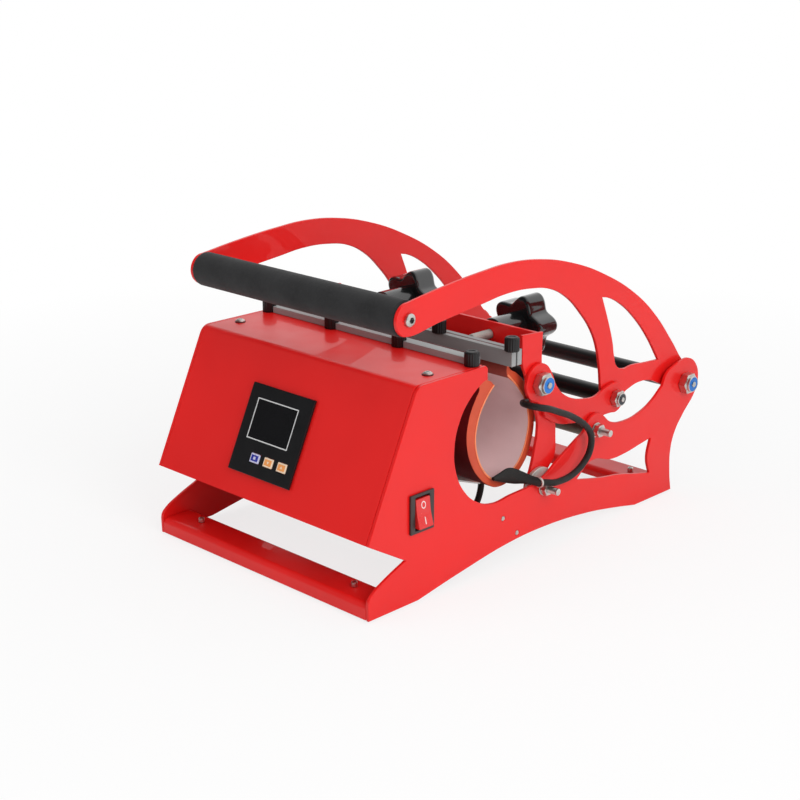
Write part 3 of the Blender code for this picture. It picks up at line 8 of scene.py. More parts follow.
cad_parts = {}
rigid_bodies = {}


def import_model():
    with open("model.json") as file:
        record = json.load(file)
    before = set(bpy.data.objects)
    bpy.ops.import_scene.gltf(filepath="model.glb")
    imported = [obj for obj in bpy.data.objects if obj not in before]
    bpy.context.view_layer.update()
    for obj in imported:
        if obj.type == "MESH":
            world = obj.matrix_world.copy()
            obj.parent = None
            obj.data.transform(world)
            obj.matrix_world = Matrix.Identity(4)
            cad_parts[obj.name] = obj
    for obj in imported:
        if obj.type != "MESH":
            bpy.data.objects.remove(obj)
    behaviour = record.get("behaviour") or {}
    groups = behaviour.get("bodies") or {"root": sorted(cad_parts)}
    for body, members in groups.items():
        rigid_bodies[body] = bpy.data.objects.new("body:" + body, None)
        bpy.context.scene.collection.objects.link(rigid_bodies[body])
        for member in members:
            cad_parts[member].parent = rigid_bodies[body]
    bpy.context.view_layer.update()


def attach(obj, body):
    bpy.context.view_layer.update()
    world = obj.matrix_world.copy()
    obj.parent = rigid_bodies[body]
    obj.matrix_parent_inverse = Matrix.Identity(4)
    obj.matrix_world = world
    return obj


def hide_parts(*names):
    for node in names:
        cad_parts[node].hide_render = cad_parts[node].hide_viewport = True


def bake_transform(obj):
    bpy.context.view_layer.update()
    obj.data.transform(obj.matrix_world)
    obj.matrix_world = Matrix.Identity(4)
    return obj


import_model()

# The side view of part.py has its origin under the machine: world = side view + (0, DY, DZ)
DY = -0.016952
DZ = 0.0015
LENGTH = 0.384
HEIGHT = 0.245
HALF = 0.125
GAP = 0.0003
SHEET = 0.003

# Camera
lens = bpy.data.cameras.new("camera")
lens.lens = 71.75
lens.sensor_width = 36
lens.clip_start = 0.01
camera = bpy.data.objects.new("camera", lens)
camera.location = (0.89427, -0.96137, 0.52324)
camera.rotation_euler = (math.radians(72.07), 0, math.radians(44.39))
bpy.context.scene.collection.objects.link(camera)
bpy.context.scene.camera = camera


# Materials
def grey(value):
    return (value, value, value, 1)


def add_node(tree, kind, values=None, **settings):
    """A new node with these settings. The value of an input may be another node's output."""
    node = tree.nodes.new("ShaderNode" + kind)
    for key, value in settings.items():
        setattr(node, key, value)
    for socket, value in (values or {}).items():
        if isinstance(value, bpy.types.NodeSocket):
            tree.links.new(value, node.inputs[socket])
        else:
            node.inputs[socket].default_value = value
    return node


def map_range(tree, value, start, end, low, high):
    values = {"Value": value, "From Min": start, "From Max": end, "To Min": low, "To Max": high}
    return add_node(tree, "MapRange", values).outputs["Result"]


def surface(
    name,
    color,
    rough,
    metal=0.0,
    tint=0.06,
    patch=18.0,
    swing=0.05,
    smudge=60.0,
    grain=1500.0,
    bump=0.1,
    depth=0.0001,
    coat=0.0,
    coat_rough=0.04,
    coat_ior=1.5,
    specular=0.5,
    stretch=(1, 1, 1),
    second=None,
    sheen=0.0,
    subsurface=0.0,
):
    """A material whose colour drifts in patches, whose gloss is smudged and whose skin is grained."""
    made = bpy.data.materials.new("look_" + name)
    made.use_nodes = True
    tree = made.node_tree
    shader = tree.nodes["Principled BSDF"]
    coords = add_node(tree, "TexCoord")
    mapping = add_node(tree, "Mapping", {"Vector": coords.outputs["Object"], "Scale": stretch})

    def noise(scale, detail):
        values = {"Vector": mapping.outputs["Vector"], "Scale": scale, "Detail": detail}
        return add_node(tree, "TexNoise", values).outputs["Fac"]

    def mix(kind, factor, a, b):
        return add_node(tree, "Mix", {0: factor, 6: a, 7: b}, data_type="RGBA", blend_type=kind).outputs[2]

    drift = map_range(tree, noise(patch, 3), 0.3, 0.7, 1 - tint, 1 + tint)
    base = mix("MULTIPLY", 1.0, (*color, 1), drift)
    if second:
        other, scale, share = second
        base = mix("MIX", map_range(tree, noise(scale, 5), 0.45, 0.7, 0, share), base, (*other, 1))
    gloss = map_range(tree, noise(smudge, 4), 0.3, 0.7, max(0.02, rough - swing), min(1, rough + swing))
    tree.links.new(base, shader.inputs["Base Color"])
    tree.links.new(gloss, shader.inputs["Roughness"])
    values = {
        "Metallic": metal,
        "Specular IOR Level": specular,
        "Coat Weight": coat,
        "Coat Roughness": coat_rough,
        "Coat IOR": coat_ior,
        "Sheen Weight": sheen,
    }
    if subsurface:
        values |= {"Subsurface Weight": subsurface, "Subsurface Scale": 0.003}
    for socket, value in values.items():
        shader.inputs[socket].default_value = value
    if bump:
        values = {"Strength": bump, "Distance": depth, "Height": noise(grain, 3)}
        skin_normal = add_node(tree, "Bump", values).outputs["Normal"]
        tree.links.new(skin_normal, shader.inputs["Normal"])
    return made


RED = surface(
    "red_paint", (0.78, 0.012, 0.011), 0.36, tint=0.05, patch=9, swing=0.05, smudge=35, bump=0.0,
    coat=0.24, coat_rough=0.02, coat_ior=1.7, specular=0.22,
)
ALUMINIUM = surface(
    "brushed_aluminium", (0.36, 0.37, 0.37), 0.50, metal=0.3, tint=0.10, patch=60, swing=0.06,
    smudge=200, grain=700, bump=0.18, depth=0.00008, stretch=(0.06, 1, 1), second=((0.28, 0.285, 0.285), 40, 0.5),
)
ZINC = surface(
    "zinc_plate", (0.66, 0.65, 0.62), 0.33, metal=1.0, tint=0.12, patch=120, swing=0.05, smudge=260,
    grain=1400, bump=0.08, second=((0.48, 0.46, 0.40), 70, 0.35),
)
DULL_ZINC = surface(
    "spacer_zinc", (0.62, 0.60, 0.56), 0.46, metal=0.75, tint=0.12, patch=90, swing=0.08, bump=0.12,
)
BARE_TUBE = surface(
    "bare_steel_tube", (0.30, 0.285, 0.235), 0.40, metal=0.9, tint=0.16, patch=40, swing=0.10,
    grain=900, bump=0.15, stretch=(0.25, 1, 1), second=((0.18, 0.16, 0.12), 30, 0.5),
)
BARE_SHEET = surface(
    "bare_sheet", (0.46, 0.46, 0.45), 0.42, metal=0.85, tint=0.10, patch=50, swing=0.08, bump=0.12,
    stretch=(0.2, 1, 1),
)
TUBE_BLACK = surface("tube_black", (0.008, 0.008, 0.0085), 0.36, tint=0.2, swing=0.06, bump=0.08, coat=0.1)
CASE_BLACK = surface(
    "controller_plastic", (0.006, 0.006, 0.007), 0.45, tint=0.15, swing=0.06, grain=2600, bump=0.25, depth=0.00006,
)
SCREEN = surface(
    "screen_glass", (0.004, 0.004, 0.005), 0.10, tint=0.2, swing=0.03, bump=0.0, coat=1.0, coat_rough=0.02,
)
KNOB_BLACK = surface(
    "knob_bakelite", (0.006, 0.006, 0.0065), 0.20, tint=0.2, swing=0.06, smudge=45, grain=260, bump=0.05,
    depth=0.0003, coat=1.0, coat_rough=0.06,
)
CAP_BLACK = surface("cap_plastic", (0.005, 0.005, 0.0055), 0.42, tint=0.2, swing=0.08, grain=1800, bump=0.2)
FOAM = surface(
    "grip_foam", (0.020, 0.020, 0.021), 0.82, tint=0.25, patch=40, swing=0.08, grain=1100, bump=0.6,
    depth=0.00035, second=((0.030, 0.030, 0.031), 500, 0.4), sheen=0.1, specular=0.3,
)
RUBBER = surface("foot_rubber", (0.018, 0.018, 0.018), 0.75, tint=0.2, grain=900, bump=0.3, specular=0.35)
MAT_OUTSIDE = surface(
    "mat_silicone", (0.62, 0.085, 0.032), 0.52, tint=0.10, patch=25, swing=0.08, grain=1300, bump=0.30,
    depth=0.0001, second=((0.50, 0.055, 0.03), 30, 0.5), subsurface=0.08,
)
MAT_INSIDE = surface(
    "mat_lining", (0.76, 0.54, 0.54), 0.55, tint=0.06, patch=22, swing=0.08, grain=1600, bump=0.2,
    second=((0.60, 0.37, 0.37), 16, 0.5),
)
# Painted shade: the mat's outer silicone skin, coloured dark red-brown for the shade between the mat and the housing.
MAT_SHADED_BACK = surface(
    "mat_back", (0.11, 0.006, 0.007), 0.60, tint=0.12, patch=25, swing=0.08, grain=1300, bump=0.25, specular=0.25,
)
# Bare silicone at the top of the mat's inside, above the lining, coloured darker than the outer silicone as painted
# shade.
MAT_SHADED_THROAT = surface(
    "mat_throat", (0.30, 0.050, 0.035), 0.55, tint=0.12, patch=25, swing=0.08, grain=1300, bump=0.25,
)
MAT_EDGE = surface(
    "mat_edge", (0.90, 0.28, 0.13), 0.50, tint=0.10, patch=90, swing=0.06, grain=1300, bump=0.2, subsurface=0.15,
)
BRAID = surface(
    "lead_braid", (0.010, 0.0095, 0.009), 0.50, tint=0.2, patch=90, swing=0.10, grain=1500, bump=0.4,
    depth=0.0002, second=((0.026, 0.024, 0.022), 700, 0.5), specular=0.35,
)
GLAND_BLACK = surface("gland_nylon", (0.015, 0.015, 0.016), 0.42, tint=0.2, grain=1500, bump=0.15)
SWITCH_BLACK = surface(
    "switch_plastic", (0.030, 0.022, 0.021), 0.36, tint=0.15, swing=0.06, grain=2200, bump=0.18, coat=0.15,
)
PADDLE = surface(
    "paddle_red", (0.70, 0.012, 0.012), 0.26, tint=0.06, swing=0.05, grain=1800, bump=0.10, coat=0.5, subsurface=0.05,
)
PALE_MARK = surface("pale_mark", (0.88, 0.74, 0.72), 0.45, tint=0.05, bump=0.1)
GREY_MARK = surface("grey_mark", (0.62, 0.62, 0.62), 0.45, tint=0.05, bump=0.1)
BLUE = surface("button_blue", (0.022, 0.032, 0.32), 0.34, tint=0.08, bump=0.1, coat=0.3)
ORANGE = surface("button_orange", (0.86, 0.33, 0.085), 0.34, tint=0.08, bump=0.1, coat=0.3)
LAVENDER = surface("button_lavender", (0.56, 0.55, 0.74), 0.36, tint=0.06, bump=0.1, coat=0.3)
PEACH = surface("button_peach", (0.86, 0.66, 0.48), 0.36, tint=0.06, bump=0.1, coat=0.3)
NYLON_BLUE = surface("nylon_blue", (0.012, 0.16, 0.55), 0.40, tint=0.12, bump=0.1, subsurface=0.1)
NYLON_DARK = surface("nylon_dark", (0.03, 0.035, 0.045), 0.40, tint=0.12, bump=0.1)
PIN = surface("inlet_pin", (0.72, 0.66, 0.50), 0.24, metal=1.0, tint=0.08, bump=0.08)
DARK_HOLE = surface("socket_shadow", (0.012, 0.011, 0.011), 0.55, tint=0.2, bump=0.1)


# Shapes
SIDES = (("left", -1), ("right", 1))
SIDE_TO_WORLD = Matrix.Translation((0, DY, DZ))


def side(share):
    return share[0] * LENGTH, share[1] * HEIGHT


def outline(shares):
    return [(*side(point), *point[2:]) for point in shares]


def arc(centre, radius, start, end, count):
    found = []
    for step in range(count):
        angle = math.radians(start + (end - start) * step / (count - 1))
        found.append((centre[0] + radius * math.cos(angle), centre[1] + radius * math.sin(angle)))
    return found


def circle(centre, radius, sides=48):
    return [(*point, 1) for point in arc(centre, radius, 0, 360 - 360 / sides, sides)]


def rectangle(centre, depth, height):
    y, z = centre
    return [(y + a * depth / 2, z + b * height / 2, 1) for a, b in ((-1, -1), (1, -1), (1, 1), (-1, 1))]


def fillet(points, steps=6):
    """An open path whose corners with a third value are rounded to that radius."""
    found = [points[0][:2]]
    for before, corner, after in zip(points, points[1:], points[2:]):
        radius = corner[2] if len(corner) > 2 else 0
        if not radius:
            found.append(corner[:2])
            continue
        here = Vector(corner[:2])
        a = (Vector(before[:2]) - here).normalized()
        b = (Vector(after[:2]) - here).normalized()
        half = a.angle(b) / 2
        centre = here + (a + b).normalized() * (radius / math.sin(half))
        reach = radius / math.tan(half)
        first = here + a * reach - centre
        last = here + b * reach - centre
        sweep = math.atan2(first.x * last.y - first.y * last.x, first.dot(last))
        for step in range(steps + 1):
            turn = sweep * step / steps
            x = first.x * math.cos(turn) - first.y * math.sin(turn)
            y = first.x * math.sin(turn) + first.y * math.cos(turn)
            found.append((centre.x + x, centre.y + y))
    found.append(points[-1][:2])
    return found


def thicken(path, thickness):
    """A closed loop: the path, and back along the path moved to its right."""
    moved = []
    for step, point in enumerate(path):
        here = Vector(point)
        ways = []
        if step:
            ways.append((here - Vector(path[step - 1])).normalized())
        if step < len(path) - 1:
            ways.append((Vector(path[step + 1]) - here).normalized())
        normals = [Vector((way.y, -way.x)) for way in ways]
        middle = sum(normals, Vector((0, 0))).normalized()
        moved.append(here + middle * (thickness / middle.dot(normals[0])))
    return [(*point, 1) for point in path] + [(*point, 1) for point in reversed(moved)]


def spline_points(knots, spacing):
    """Points about this far apart on a smooth curve through the knots."""
    ends = [knots[0], *knots, knots[-1]]
    found = [tuple(knots[0])]
    for a, b, c, d in zip(ends, ends[1:], ends[2:], ends[3:]):
        steps = max(1, round(math.dist(b[:3], c[:3]) / spacing))
        for step in range(1, steps + 1):
            t = step / steps
            point = []
            for p, q, r, s in zip(a, b, c, d):
                bent = (2 * p - 5 * q + 4 * r - s) * t**2 + (3 * q - p - 3 * r + s) * t**3
                point.append((2 * q + (r - p) * t + bent) / 2)
            found.append(tuple(point))
    return found


def handed(profile, sign):
    return [(sign * along, radius) for along, radius in profile]


def both_ways(half):
    return handed(reversed(half), -1) + half


def hoop(start, end, bore, radius, edge, steps=3):
    """The closed profile of a ring or a tube whose outer edges are rounded."""
    return fillet([(start, bore), (start, radius, edge), (end, radius, edge), (end, bore), (start, bore)], steps)


def body_of(node):
    return bpy.data.objects[node].parent.name.split("body:")[1]


def shown(name, mesh, material, node=None, body=None, angle=38, weighted=True, bends=False):
    """Puts a mesh in the scene. It stands for the node, or rides on the body, or, with bends, is baked into place in
    the world.
    """
    obj = bpy.data.objects.new(name, mesh)
    bpy.context.scene.collection.objects.link(obj)
    if material and not mesh.materials:
        mesh.materials.append(material)
    mesh.shade_smooth()
    mesh.set_sharp_from_angle(angle=math.radians(angle))
    if weighted:
        obj.modifiers.new("Normals", "WEIGHTED_NORMAL").keep_sharp = True
    if node:
        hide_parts(node)
        body = body_of(node)
    if bends:
        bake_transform(obj)
    else:
        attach(obj, body)
    return obj


def made_mesh(name, edit, matrix=SIDE_TO_WORLD):
    """The mesh, moved by the matrix, which leads from its own frame to the world."""
    bmesh.ops.transform(edit, matrix=matrix, verts=edit.verts)
    bmesh.ops.recalc_face_normals(edit, faces=edit.faces)
    mesh = bpy.data.meshes.new(name)
    edit.to_mesh(mesh)
    edit.free()
    return mesh


def bridge(edit, near, far):
    """Joins two rings of vertices with faces. A ring may be a single vertex."""
    count = max(len(near), len(far))
    if count == 1:
        return
    for step in range(count):
        after = (step + 1) % count
        if len(near) == 1:
            edit.faces.new((near[0], far[step], far[after]))
        elif len(far) == 1:
            edit.faces.new((near[step], near[after], far[0]))
        else:
            edit.faces.new((near[step], near[after], far[after], far[step]))


def skin(rings, closed=False):
    """A surface through rings of points. Closed, it joins the last to the first, and else has end caps."""
    edit = bmesh.new()
    made = [[edit.verts.new(point) for point in ring] for ring in rings]
    for near, far in zip(made, made[1:] + (made[:1] if closed else [])):
        bridge(edit, near, far)
    if not closed:
        edit.faces.new(made[0])
        edit.faces.new(made[-1])
    return edit


def flat(name, loops, x, thickness, edge=0.0005, steps=10):
    """A sheet cut to loops of the side view, with its edges broken."""
    data = bpy.data.curves.new(name, "CURVE")
    data.dimensions = "2D"
    data.fill_mode = "BOTH"
    data.extrude = thickness / 2 - edge
    data.bevel_depth = edge
    data.bevel_resolution = 2
    data.offset = -edge
    data.resolution_u = steps
    for loop in loops:
        if all(len(point) > 2 for point in loop):
            spline = data.splines.new("POLY")
            spline.points.add(len(loop) - 1)
            for knot, point in zip(spline.points, loop):
                knot.co = (point[0], point[1], 0, 1)
        else:
            spline = data.splines.new("BEZIER")
            spline.bezier_points.add(len(loop) - 1)
            for knot, point in zip(spline.bezier_points, loop):
                knot.co = (point[0], point[1], 0)
                knot.handle_left_type = knot.handle_right_type = "VECTOR" if len(point) > 2 else "AUTO"
        spline.use_cyclic_u = True
    curve = bpy.data.objects.new(name + "_curve", data)
    bpy.context.scene.collection.objects.link(curve)
    graph = bpy.context.evaluated_depsgraph_get()
    mesh = bpy.data.meshes.new_from_object(curve.evaluated_get(graph))
    bpy.data.objects.remove(curve)
    edit = bmesh.new()
    edit.from_mesh(mesh)
    bmesh.ops.remove_doubles(edit, verts=edit.verts, dist=0.000004)
    for vert in edit.verts:
        vert.co = (x + vert.co.z, vert.co.x, vert.co.y)
    return made_mesh(name, edit)


def steel(name, loops, x, thickness, edge, node=None, **given):
    shown(name, flat(name, loops, x, thickness, edge), RED, node, **given)


def spun(name, profile, place, axis, sides=64, shape=None):
    """A turned piece. Its profile holds (along, radius) pairs, closed if the last repeats the first.
    The shape may bend the radius by angle."""
    ring = profile[0] == profile[-1]
    edit = bmesh.new()
    rings = []
    for along, radius in profile[:-1] if ring else profile:
        made = []
        for step in range(sides if radius > 1e-7 else 1):
            angle = 2 * math.pi * step / sides
            reach = shape(angle, radius) if shape and radius > 1e-7 else radius
            a, b = reach * math.cos(angle), reach * math.sin(angle)
            spot = {"X": (along, a, b), "Y": (b, along, a), "Z": (a, b, along)}[axis]
            made.append(edit.verts.new(Vector(place) + Vector(spot)))
        rings.append(made)
    for near, far in zip(rings, rings[1:] + (rings[:1] if ring else [])):
        bridge(edit, near, far)
    return made_mesh(name, edit)


def turned(name, profile, place, axis, material, node=None, sides=64, shape=None, **given):
    return shown(name, spun(name, profile, place, axis, sides, shape), material, node, **given)


def block(name, low, high, radius=0.0003, segments=3, matrix=SIDE_TO_WORLD):
    edit = bmesh.new()
    bmesh.ops.create_cube(edit, size=1)
    for vert in edit.verts:
        vert.co = [(l + h) / 2 + c * (h - l) for c, l, h in zip(vert.co, low, high)]
    bmesh.ops.bevel(
        edit, geom=edit.edges[:], offset=radius, segments=segments, profile=0.5, affect="EDGES", clamp_overlap=True
    )
    return made_mesh(name, edit, matrix)


def carve(mesh, cutters):
    """The mesh with the cutters' meshes cut from it."""
    objects = []
    for number, made in enumerate([mesh, *cutters]):
        obj = bpy.data.objects.new(f"carve_{number}", made)
        bpy.context.scene.collection.objects.link(obj)
        objects.append(obj)
    for other in objects[1:]:
        modifier = objects[0].modifiers.new("Cut", "BOOLEAN")
        modifier.operation = "DIFFERENCE"
        modifier.solver = "EXACT"
        modifier.object = other
    graph = bpy.context.evaluated_depsgraph_get()
    found = bpy.data.meshes.new_from_object(objects[0].evaluated_get(graph))
    for obj in objects:
        bpy.data.objects.remove(obj)
    return found


def from_cad(name, node, material, edge, segments):
    """The node's own shape with its edges broken."""
    edit = bmesh.new()
    edit.from_mesh(bpy.data.objects[node].data)
    bmesh.ops.remove_doubles(edit, verts=edit.verts, dist=0.000005)
    bmesh.ops.dissolve_limit(edit, angle_limit=math.radians(0.6), verts=edit.verts, edges=edit.edges)
    mesh = bpy.data.meshes.new(name)
    index = {vert: n for n, vert in enumerate(edit.verts)}
    mesh.from_pydata(
        [vert.co[:] for vert in edit.verts], [], [[index[vert] for vert in face.verts] for face in edit.faces]
    )
    edit.free()
    obj = bpy.data.objects.new(name, mesh)
    bpy.context.scene.collection.objects.link(obj)
    bevel = obj.modifiers.new("Edges", "BEVEL")
    bevel.width = edge
    bevel.segments = segments
    bevel.limit_method = "ANGLE"
    bevel.angle_limit = math.radians(32)
    bevel.use_clamp_overlap = False
    graph = bpy.context.evaluated_depsgraph_get()
    found = bpy.data.meshes.new_from_object(obj.evaluated_get(graph))
    bpy.data.objects.remove(obj)
    shown(name, found, material, node)


def hex_radius(angle, flats):
    turn = (angle % (math.pi / 3)) - math.pi / 6
    return flats / 2 / math.cos(turn)


def nut(name, centre, size, start, sign, body, ring=None):
    """A hexagon nut with chamfered corners. A lock nut has a collar round a nylon ring."""
    flats, height, collar, bore = size
    corner = flats / math.sqrt(3)
    shoulder = flats / 2 - 0.0002
    cut = (corner - flats / 2) * 0.42
    hexed = height * (0.76 if collar else 1.0)
    profile = [(0, 0), (0, shoulder), (cut, corner), (hexed - cut, corner), (hexed, shoulder)]
    lip = min(bore + 0.0015, collar - 0.0010)
    if collar:
        profile += fillet(
            [
                (hexed, shoulder),
                (hexed, collar, 0.0003),
                (height, collar - 0.0003, 0.0007),
                (height, lip, 0.0002),
                (height - 0.0008, lip),
                (height - 0.0008, 0),
            ],
            4,
        )[1:]
    else:
        profile.append((hexed, 0))
    profile = handed([(start + along, radius) for along, radius in profile], sign)

    def shape(angle, radius):
        return min(radius, hex_radius(angle, flats))

    turned(name, profile, (0, *centre), "X", ZINC, sides=96, shape=shape, body=body, angle=24)
    if ring:
        top = start + height
        loop = hoop(top - 0.0016, top - 0.0002, bore * 0.55 - 0.0003, lip + 0.0001, 0)
        turned(name + "_ring", handed(loop, sign), (0, *centre), "X", ring, body=body)


def threads(start, end, radius, pitch):
    """A ridged profile from start to end, with a bevelled tip at the end."""
    way = 1 if end > start else -1
    count = max(1, int(abs(end - start) / pitch))
    found = []
    for step in range(count):
        at = start + way * step * pitch
        found += [(at, radius - 0.28 * pitch), (at + way * pitch * 0.30, radius), (at + way * pitch * 0.62, radius)]
    found += [(end - way * pitch * 0.4, radius - 0.05 * pitch), (end, radius - pitch * 0.6), (end, 0)]
    return found


def rod_profile(start, end, radius, pitch, nose=0, collar=()):
    """A stud with its thread. With a nose it ends in a turned down tip of that length."""
    found = [*collar, (start, radius - 0.0001)] + threads(start, end - nose, radius - 0.00005, pitch)
    if nose:
        tip = radius * 0.5
        found = found[:-1] + fillet([(end - nose, tip), (end, tip, 0.0004), (end, 0)], 4)
    return found


# Sizes and outlines of part.py
ARM_PIVOT = side((0.531, 0.404))
KNEE_PIVOT = side((0.277, 0.433))
ELBOW_PIVOT = side((0.013, 0.578))
CLAMP_PIVOT = side((0.0234, 0.2122))
STOP = side((0.199, 0.349))
HANDLE = side((-0.3706, 0.904))
MUG_OPENING = side((-0.117, 0.445))
MUG_RADIUS = 0.2216 * HEIGHT
PANEL_FOOT = side((-0.499, 0.245))
PANEL_BEND = side((-0.3635, 0.700))
SWITCH = side((-0.355, 0.2965))
PLATE_X = HALF - SHEET / 2
LINK_X = PLATE_X - SHEET - 0.0005
ARM_X = LINK_X - SHEET - 0.0005
PLATE_INSIDE = PLATE_X - SHEET / 2
ARM_INSIDE = ARM_X - SHEET / 2
ARM_OUTSIDE = ARM_X + SHEET / 2
LINK_OUTSIDE = LINK_X + SHEET / 2
INNER_HALF = PLATE_INSIDE - GAP
MAT_HALF = ARM_INSIDE - 0.0063
KNOB_X = 0.512 * HALF
KNOB_Z = 0.696 * HEIGHT
BAR_SEAT = PANEL_BEND[1] + GAP
COVER_REAR = -0.169 * LENGTH
SCREW_Y = -0.292 * LENGTH
PLATE_HOLES = ((-0.105, 0.158), (-0.059, 0.087))
# Nuts: width over flats, height, radius of the collar, radius of the thread
M10 = (0.017, 0.0097, 0.0074, 0.005)
M8 = (0.013, 0.0077, 0.0058, 0.004)
M6 = (0.010, 0.005, 0, 0.003)

PLATE_BOTTOM = [
    (-0.499, 0.000, 1), (-0.361, 0.000, 1), (-0.238, 0.032), (-0.086, 0.063), (0.027, 0.068), (0.176, 0.051),
    (0.269, 0.028), (0.359, 0.000, 1), (0.500, 0.000, 1),
]
PLATE_REAR = [(0.492, 0.073), (0.492, 0.171), (0.507, 0.231), (0.533, 0.280)]
PLATE_LENS = [
    (0.492, 0.481), (0.462, 0.461), (0.445, 0.418, 1), (0.407, 0.377), (0.369, 0.353), (0.312, 0.340), (0.255, 0.356),
]
PLATE_TOWER = [(0.133, 0.338), (0.075, 0.292), (0.023, 0.247), (-0.020, 0.235)]
PLATE_TOP = [(-0.1617, 0.6515, 1), (-0.1617, 0.6900, 1), (-0.1675, 0.6995, 1)]
PLATE_FRONT = [
    (-0.3960, 0.1510, 1), (-0.4580, 0.1105), (-0.4860, 0.0865), (-0.4975, 0.0680), (-0.5000, 0.0520, 1),
]
WEDGE_HOLE = [
    (0.410, 0.237, 1), (0.368, 0.228), (0.316, 0.217), (0.264, 0.215), (0.187, 0.238), (0.139, 0.191, 1),
    (0.229, 0.160), (0.292, 0.145), (0.354, 0.122), (0.410, 0.103, 1), (0.399, 0.163),
]
ARM_OUTER = [
    (-0.280, 0.976), (-0.163, 0.994), (-0.071, 1.000), (0.026, 0.985), (0.127, 0.947), (0.234, 0.882),
    (0.349, 0.783), (0.430, 0.682), (0.500, 0.563),
]
ARM_HEEL = [(0.445, 0.427), (0.412, 0.446), (0.381, 0.451), (0.354, 0.446)]
ARM_INNER = [
    (0.236, 0.488), (0.231, 0.544), (0.220, 0.616), (0.199, 0.687), (0.154, 0.772), (0.110, 0.833), (0.055, 0.878),
    (-0.011, 0.899), (-0.088, 0.903), (-0.161, 0.891), (-0.279, 0.871),
]
ARM_WINDOW = [
    (0.230, 0.802, 1), (0.253, 0.793), (0.298, 0.758), (0.353, 0.691), (0.403, 0.609), (0.449, 0.511, 1),
    (0.400, 0.516), (0.354, 0.523), (0.318, 0.521), (0.292, 0.539), (0.280, 0.584), (0.274, 0.627), (0.256, 0.706),
]
LINK_UPPER = [(0.234, 0.476), (0.210, 0.463), (0.166, 0.468), (0.131, 0.482), (0.095, 0.511), (0.073, 0.544)]
LINK_LOWER = [(0.026, 0.488), (0.034, 0.453, 1), (0.073, 0.416), (0.130, 0.394)]
FLANGE_TOP = [(-0.0355, 0.751, 1), (0.031, 0.743, 1)]
FLANGE_REAR = [(0.031, 0.624), (0.039, 0.576), (0.057, 0.506), (0.078, 0.433), (0.083, 0.367), (0.081, 0.294)]
FLANGE_FRONT = [
    (0.002, 0.273), (0.015, 0.345), (0.022, 0.400), (0.020, 0.452), (-0.001, 0.519), (-0.015, 0.578),
    (-0.022, 0.614), (-0.032, 0.651), (-0.034, 0.702),
]
MAT_OUTER = [
    (-0.1490, 0.5700), (-0.1615, 0.5375), (-0.1703, 0.5000), (-0.1753, 0.4550), (-0.1724, 0.4040),
    (-0.1610, 0.3530), (-0.1393, 0.3020), (-0.1068, 0.2580), (-0.0745, 0.2380), (-0.0300, 0.2490),
    (0.0104, 0.2940), (0.0307, 0.3560), (0.0391, 0.4286), (0.0339, 0.4878), (0.0214, 0.5355),
    (0.0000, 0.5812), (-0.0234, 0.6143), (-0.0430, 0.6335),
]
MAT_INNER = [
    (-0.0526, 0.6143), (-0.0312, 0.5820), (-0.0120, 0.5486), (0.0042, 0.5143), (0.0141, 0.4714),
    (0.0180, 0.4286), (0.0135, 0.3857), (0.0021, 0.3367), (-0.0177, 0.2971), (-0.0469, 0.2735),
    (-0.0781, 0.2694), (-0.1055, 0.2906), (-0.1289, 0.3347), (-0.1438, 0.3898), (-0.1477, 0.4388),
    (-0.1427, 0.4816), (-0.1333, 0.5196), (-0.1203, 0.5502), (-0.1057, 0.5763),
]
MAT_FLAP = [
    (-0.0924, 0.5951, 1), (-0.1013, 0.6106, 1), (-0.1211, 0.6253), (-0.1422, 0.6302), (-0.1573, 0.6545),
]
MAT_SHOULDER = [(-0.1609, 0.6530), (-0.1497, 0.6245), (-0.1385, 0.6010)]

LEAD_ROUTE = [
    (0.0065, -0.0006, 0.0606), (0.0086, 0.0034, 0.0601), (0.0098, 0.0082, 0.0589), (0.0099, 0.0135, 0.0580),
    (0.0098, 0.0210, 0.0576), (0.0098, 0.0283, 0.0578), (0.0097, 0.0365, 0.0594), (0.0096, 0.0442, 0.0623),
    (0.0094, 0.0508, 0.0663), (0.0094, 0.0558, 0.0715), (0.0093, 0.0587, 0.0780), (0.0093, 0.0588, 0.0850),
    (0.0093, 0.0560, 0.0915), (0.0093, 0.0505, 0.0973), (0.0093, 0.0430, 0.1030), (0.0093, 0.0350, 0.1080),
    (0.0094, 0.0269, 0.1124), (0.0096, 0.0175, 0.1166), (0.0098, 0.0088, 0.1205), (0.0098, 0.0005, 0.1240),
    (0.0090, -0.0039, 0.1253), (0.0065, -0.0076, 0.1262), (0.0028, -0.0101, 0.1268),
    (-0.0016, -0.0110, 0.1271), (-0.0060, -0.0101, 0.1268), (-0.0098, -0.0076, 0.1262),
    (-0.0123, -0.0039, 0.1252), (-0.0131, 0.0005, 0.1241), (-0.0132, 0.0070, 0.1226),
    (-0.0132, 0.0135, 0.1210), (-0.0140, 0.0179, 0.1199), (-0.0165, 0.0216, 0.1188),
    (-0.0202, 0.0241, 0.1176), (-0.0246, 0.0250, 0.1162), (-0.0320, 0.0252, 0.1136),
    (-0.0460, 0.0242, 0.1075), (-0.0600, 0.0218, 0.0985), (-0.0680, 0.0190, 0.0850),
    (-0.0700, 0.0150, 0.0680), (-0.0700, 0.0125, 0.0490), (-0.0705, 0.0115, 0.0300),
    (-0.0715, 0.0060, 0.0170), (-0.0730, -0.0060, 0.0100), (-0.0730, -0.0230, 0.0085),
    (-0.0710, -0.0460, 0.0080), (-0.0660, -0.0700, 0.0085), (-0.0600, -0.0920, 0.0125),
    (-0.0560, -0.1070, 0.0210), (-0.0550, -0.1130, 0.0310), (-0.0550, -0.1140, 0.039925),
    (-0.0550, -0.1140, 0.051925),
]
SLEEVE_ROUTE = [
    (-0.0125, -0.0395, 0.0692), (-0.0120, -0.0315, 0.0686), (-0.0110, -0.0241, 0.0683),
    (-0.0090, -0.0178, 0.0668), (-0.0055, -0.0120, 0.0649), (-0.0010, -0.0074, 0.0631),
    (0.0028, -0.0044, 0.0616), (0.0056, -0.0026, 0.0610),
]
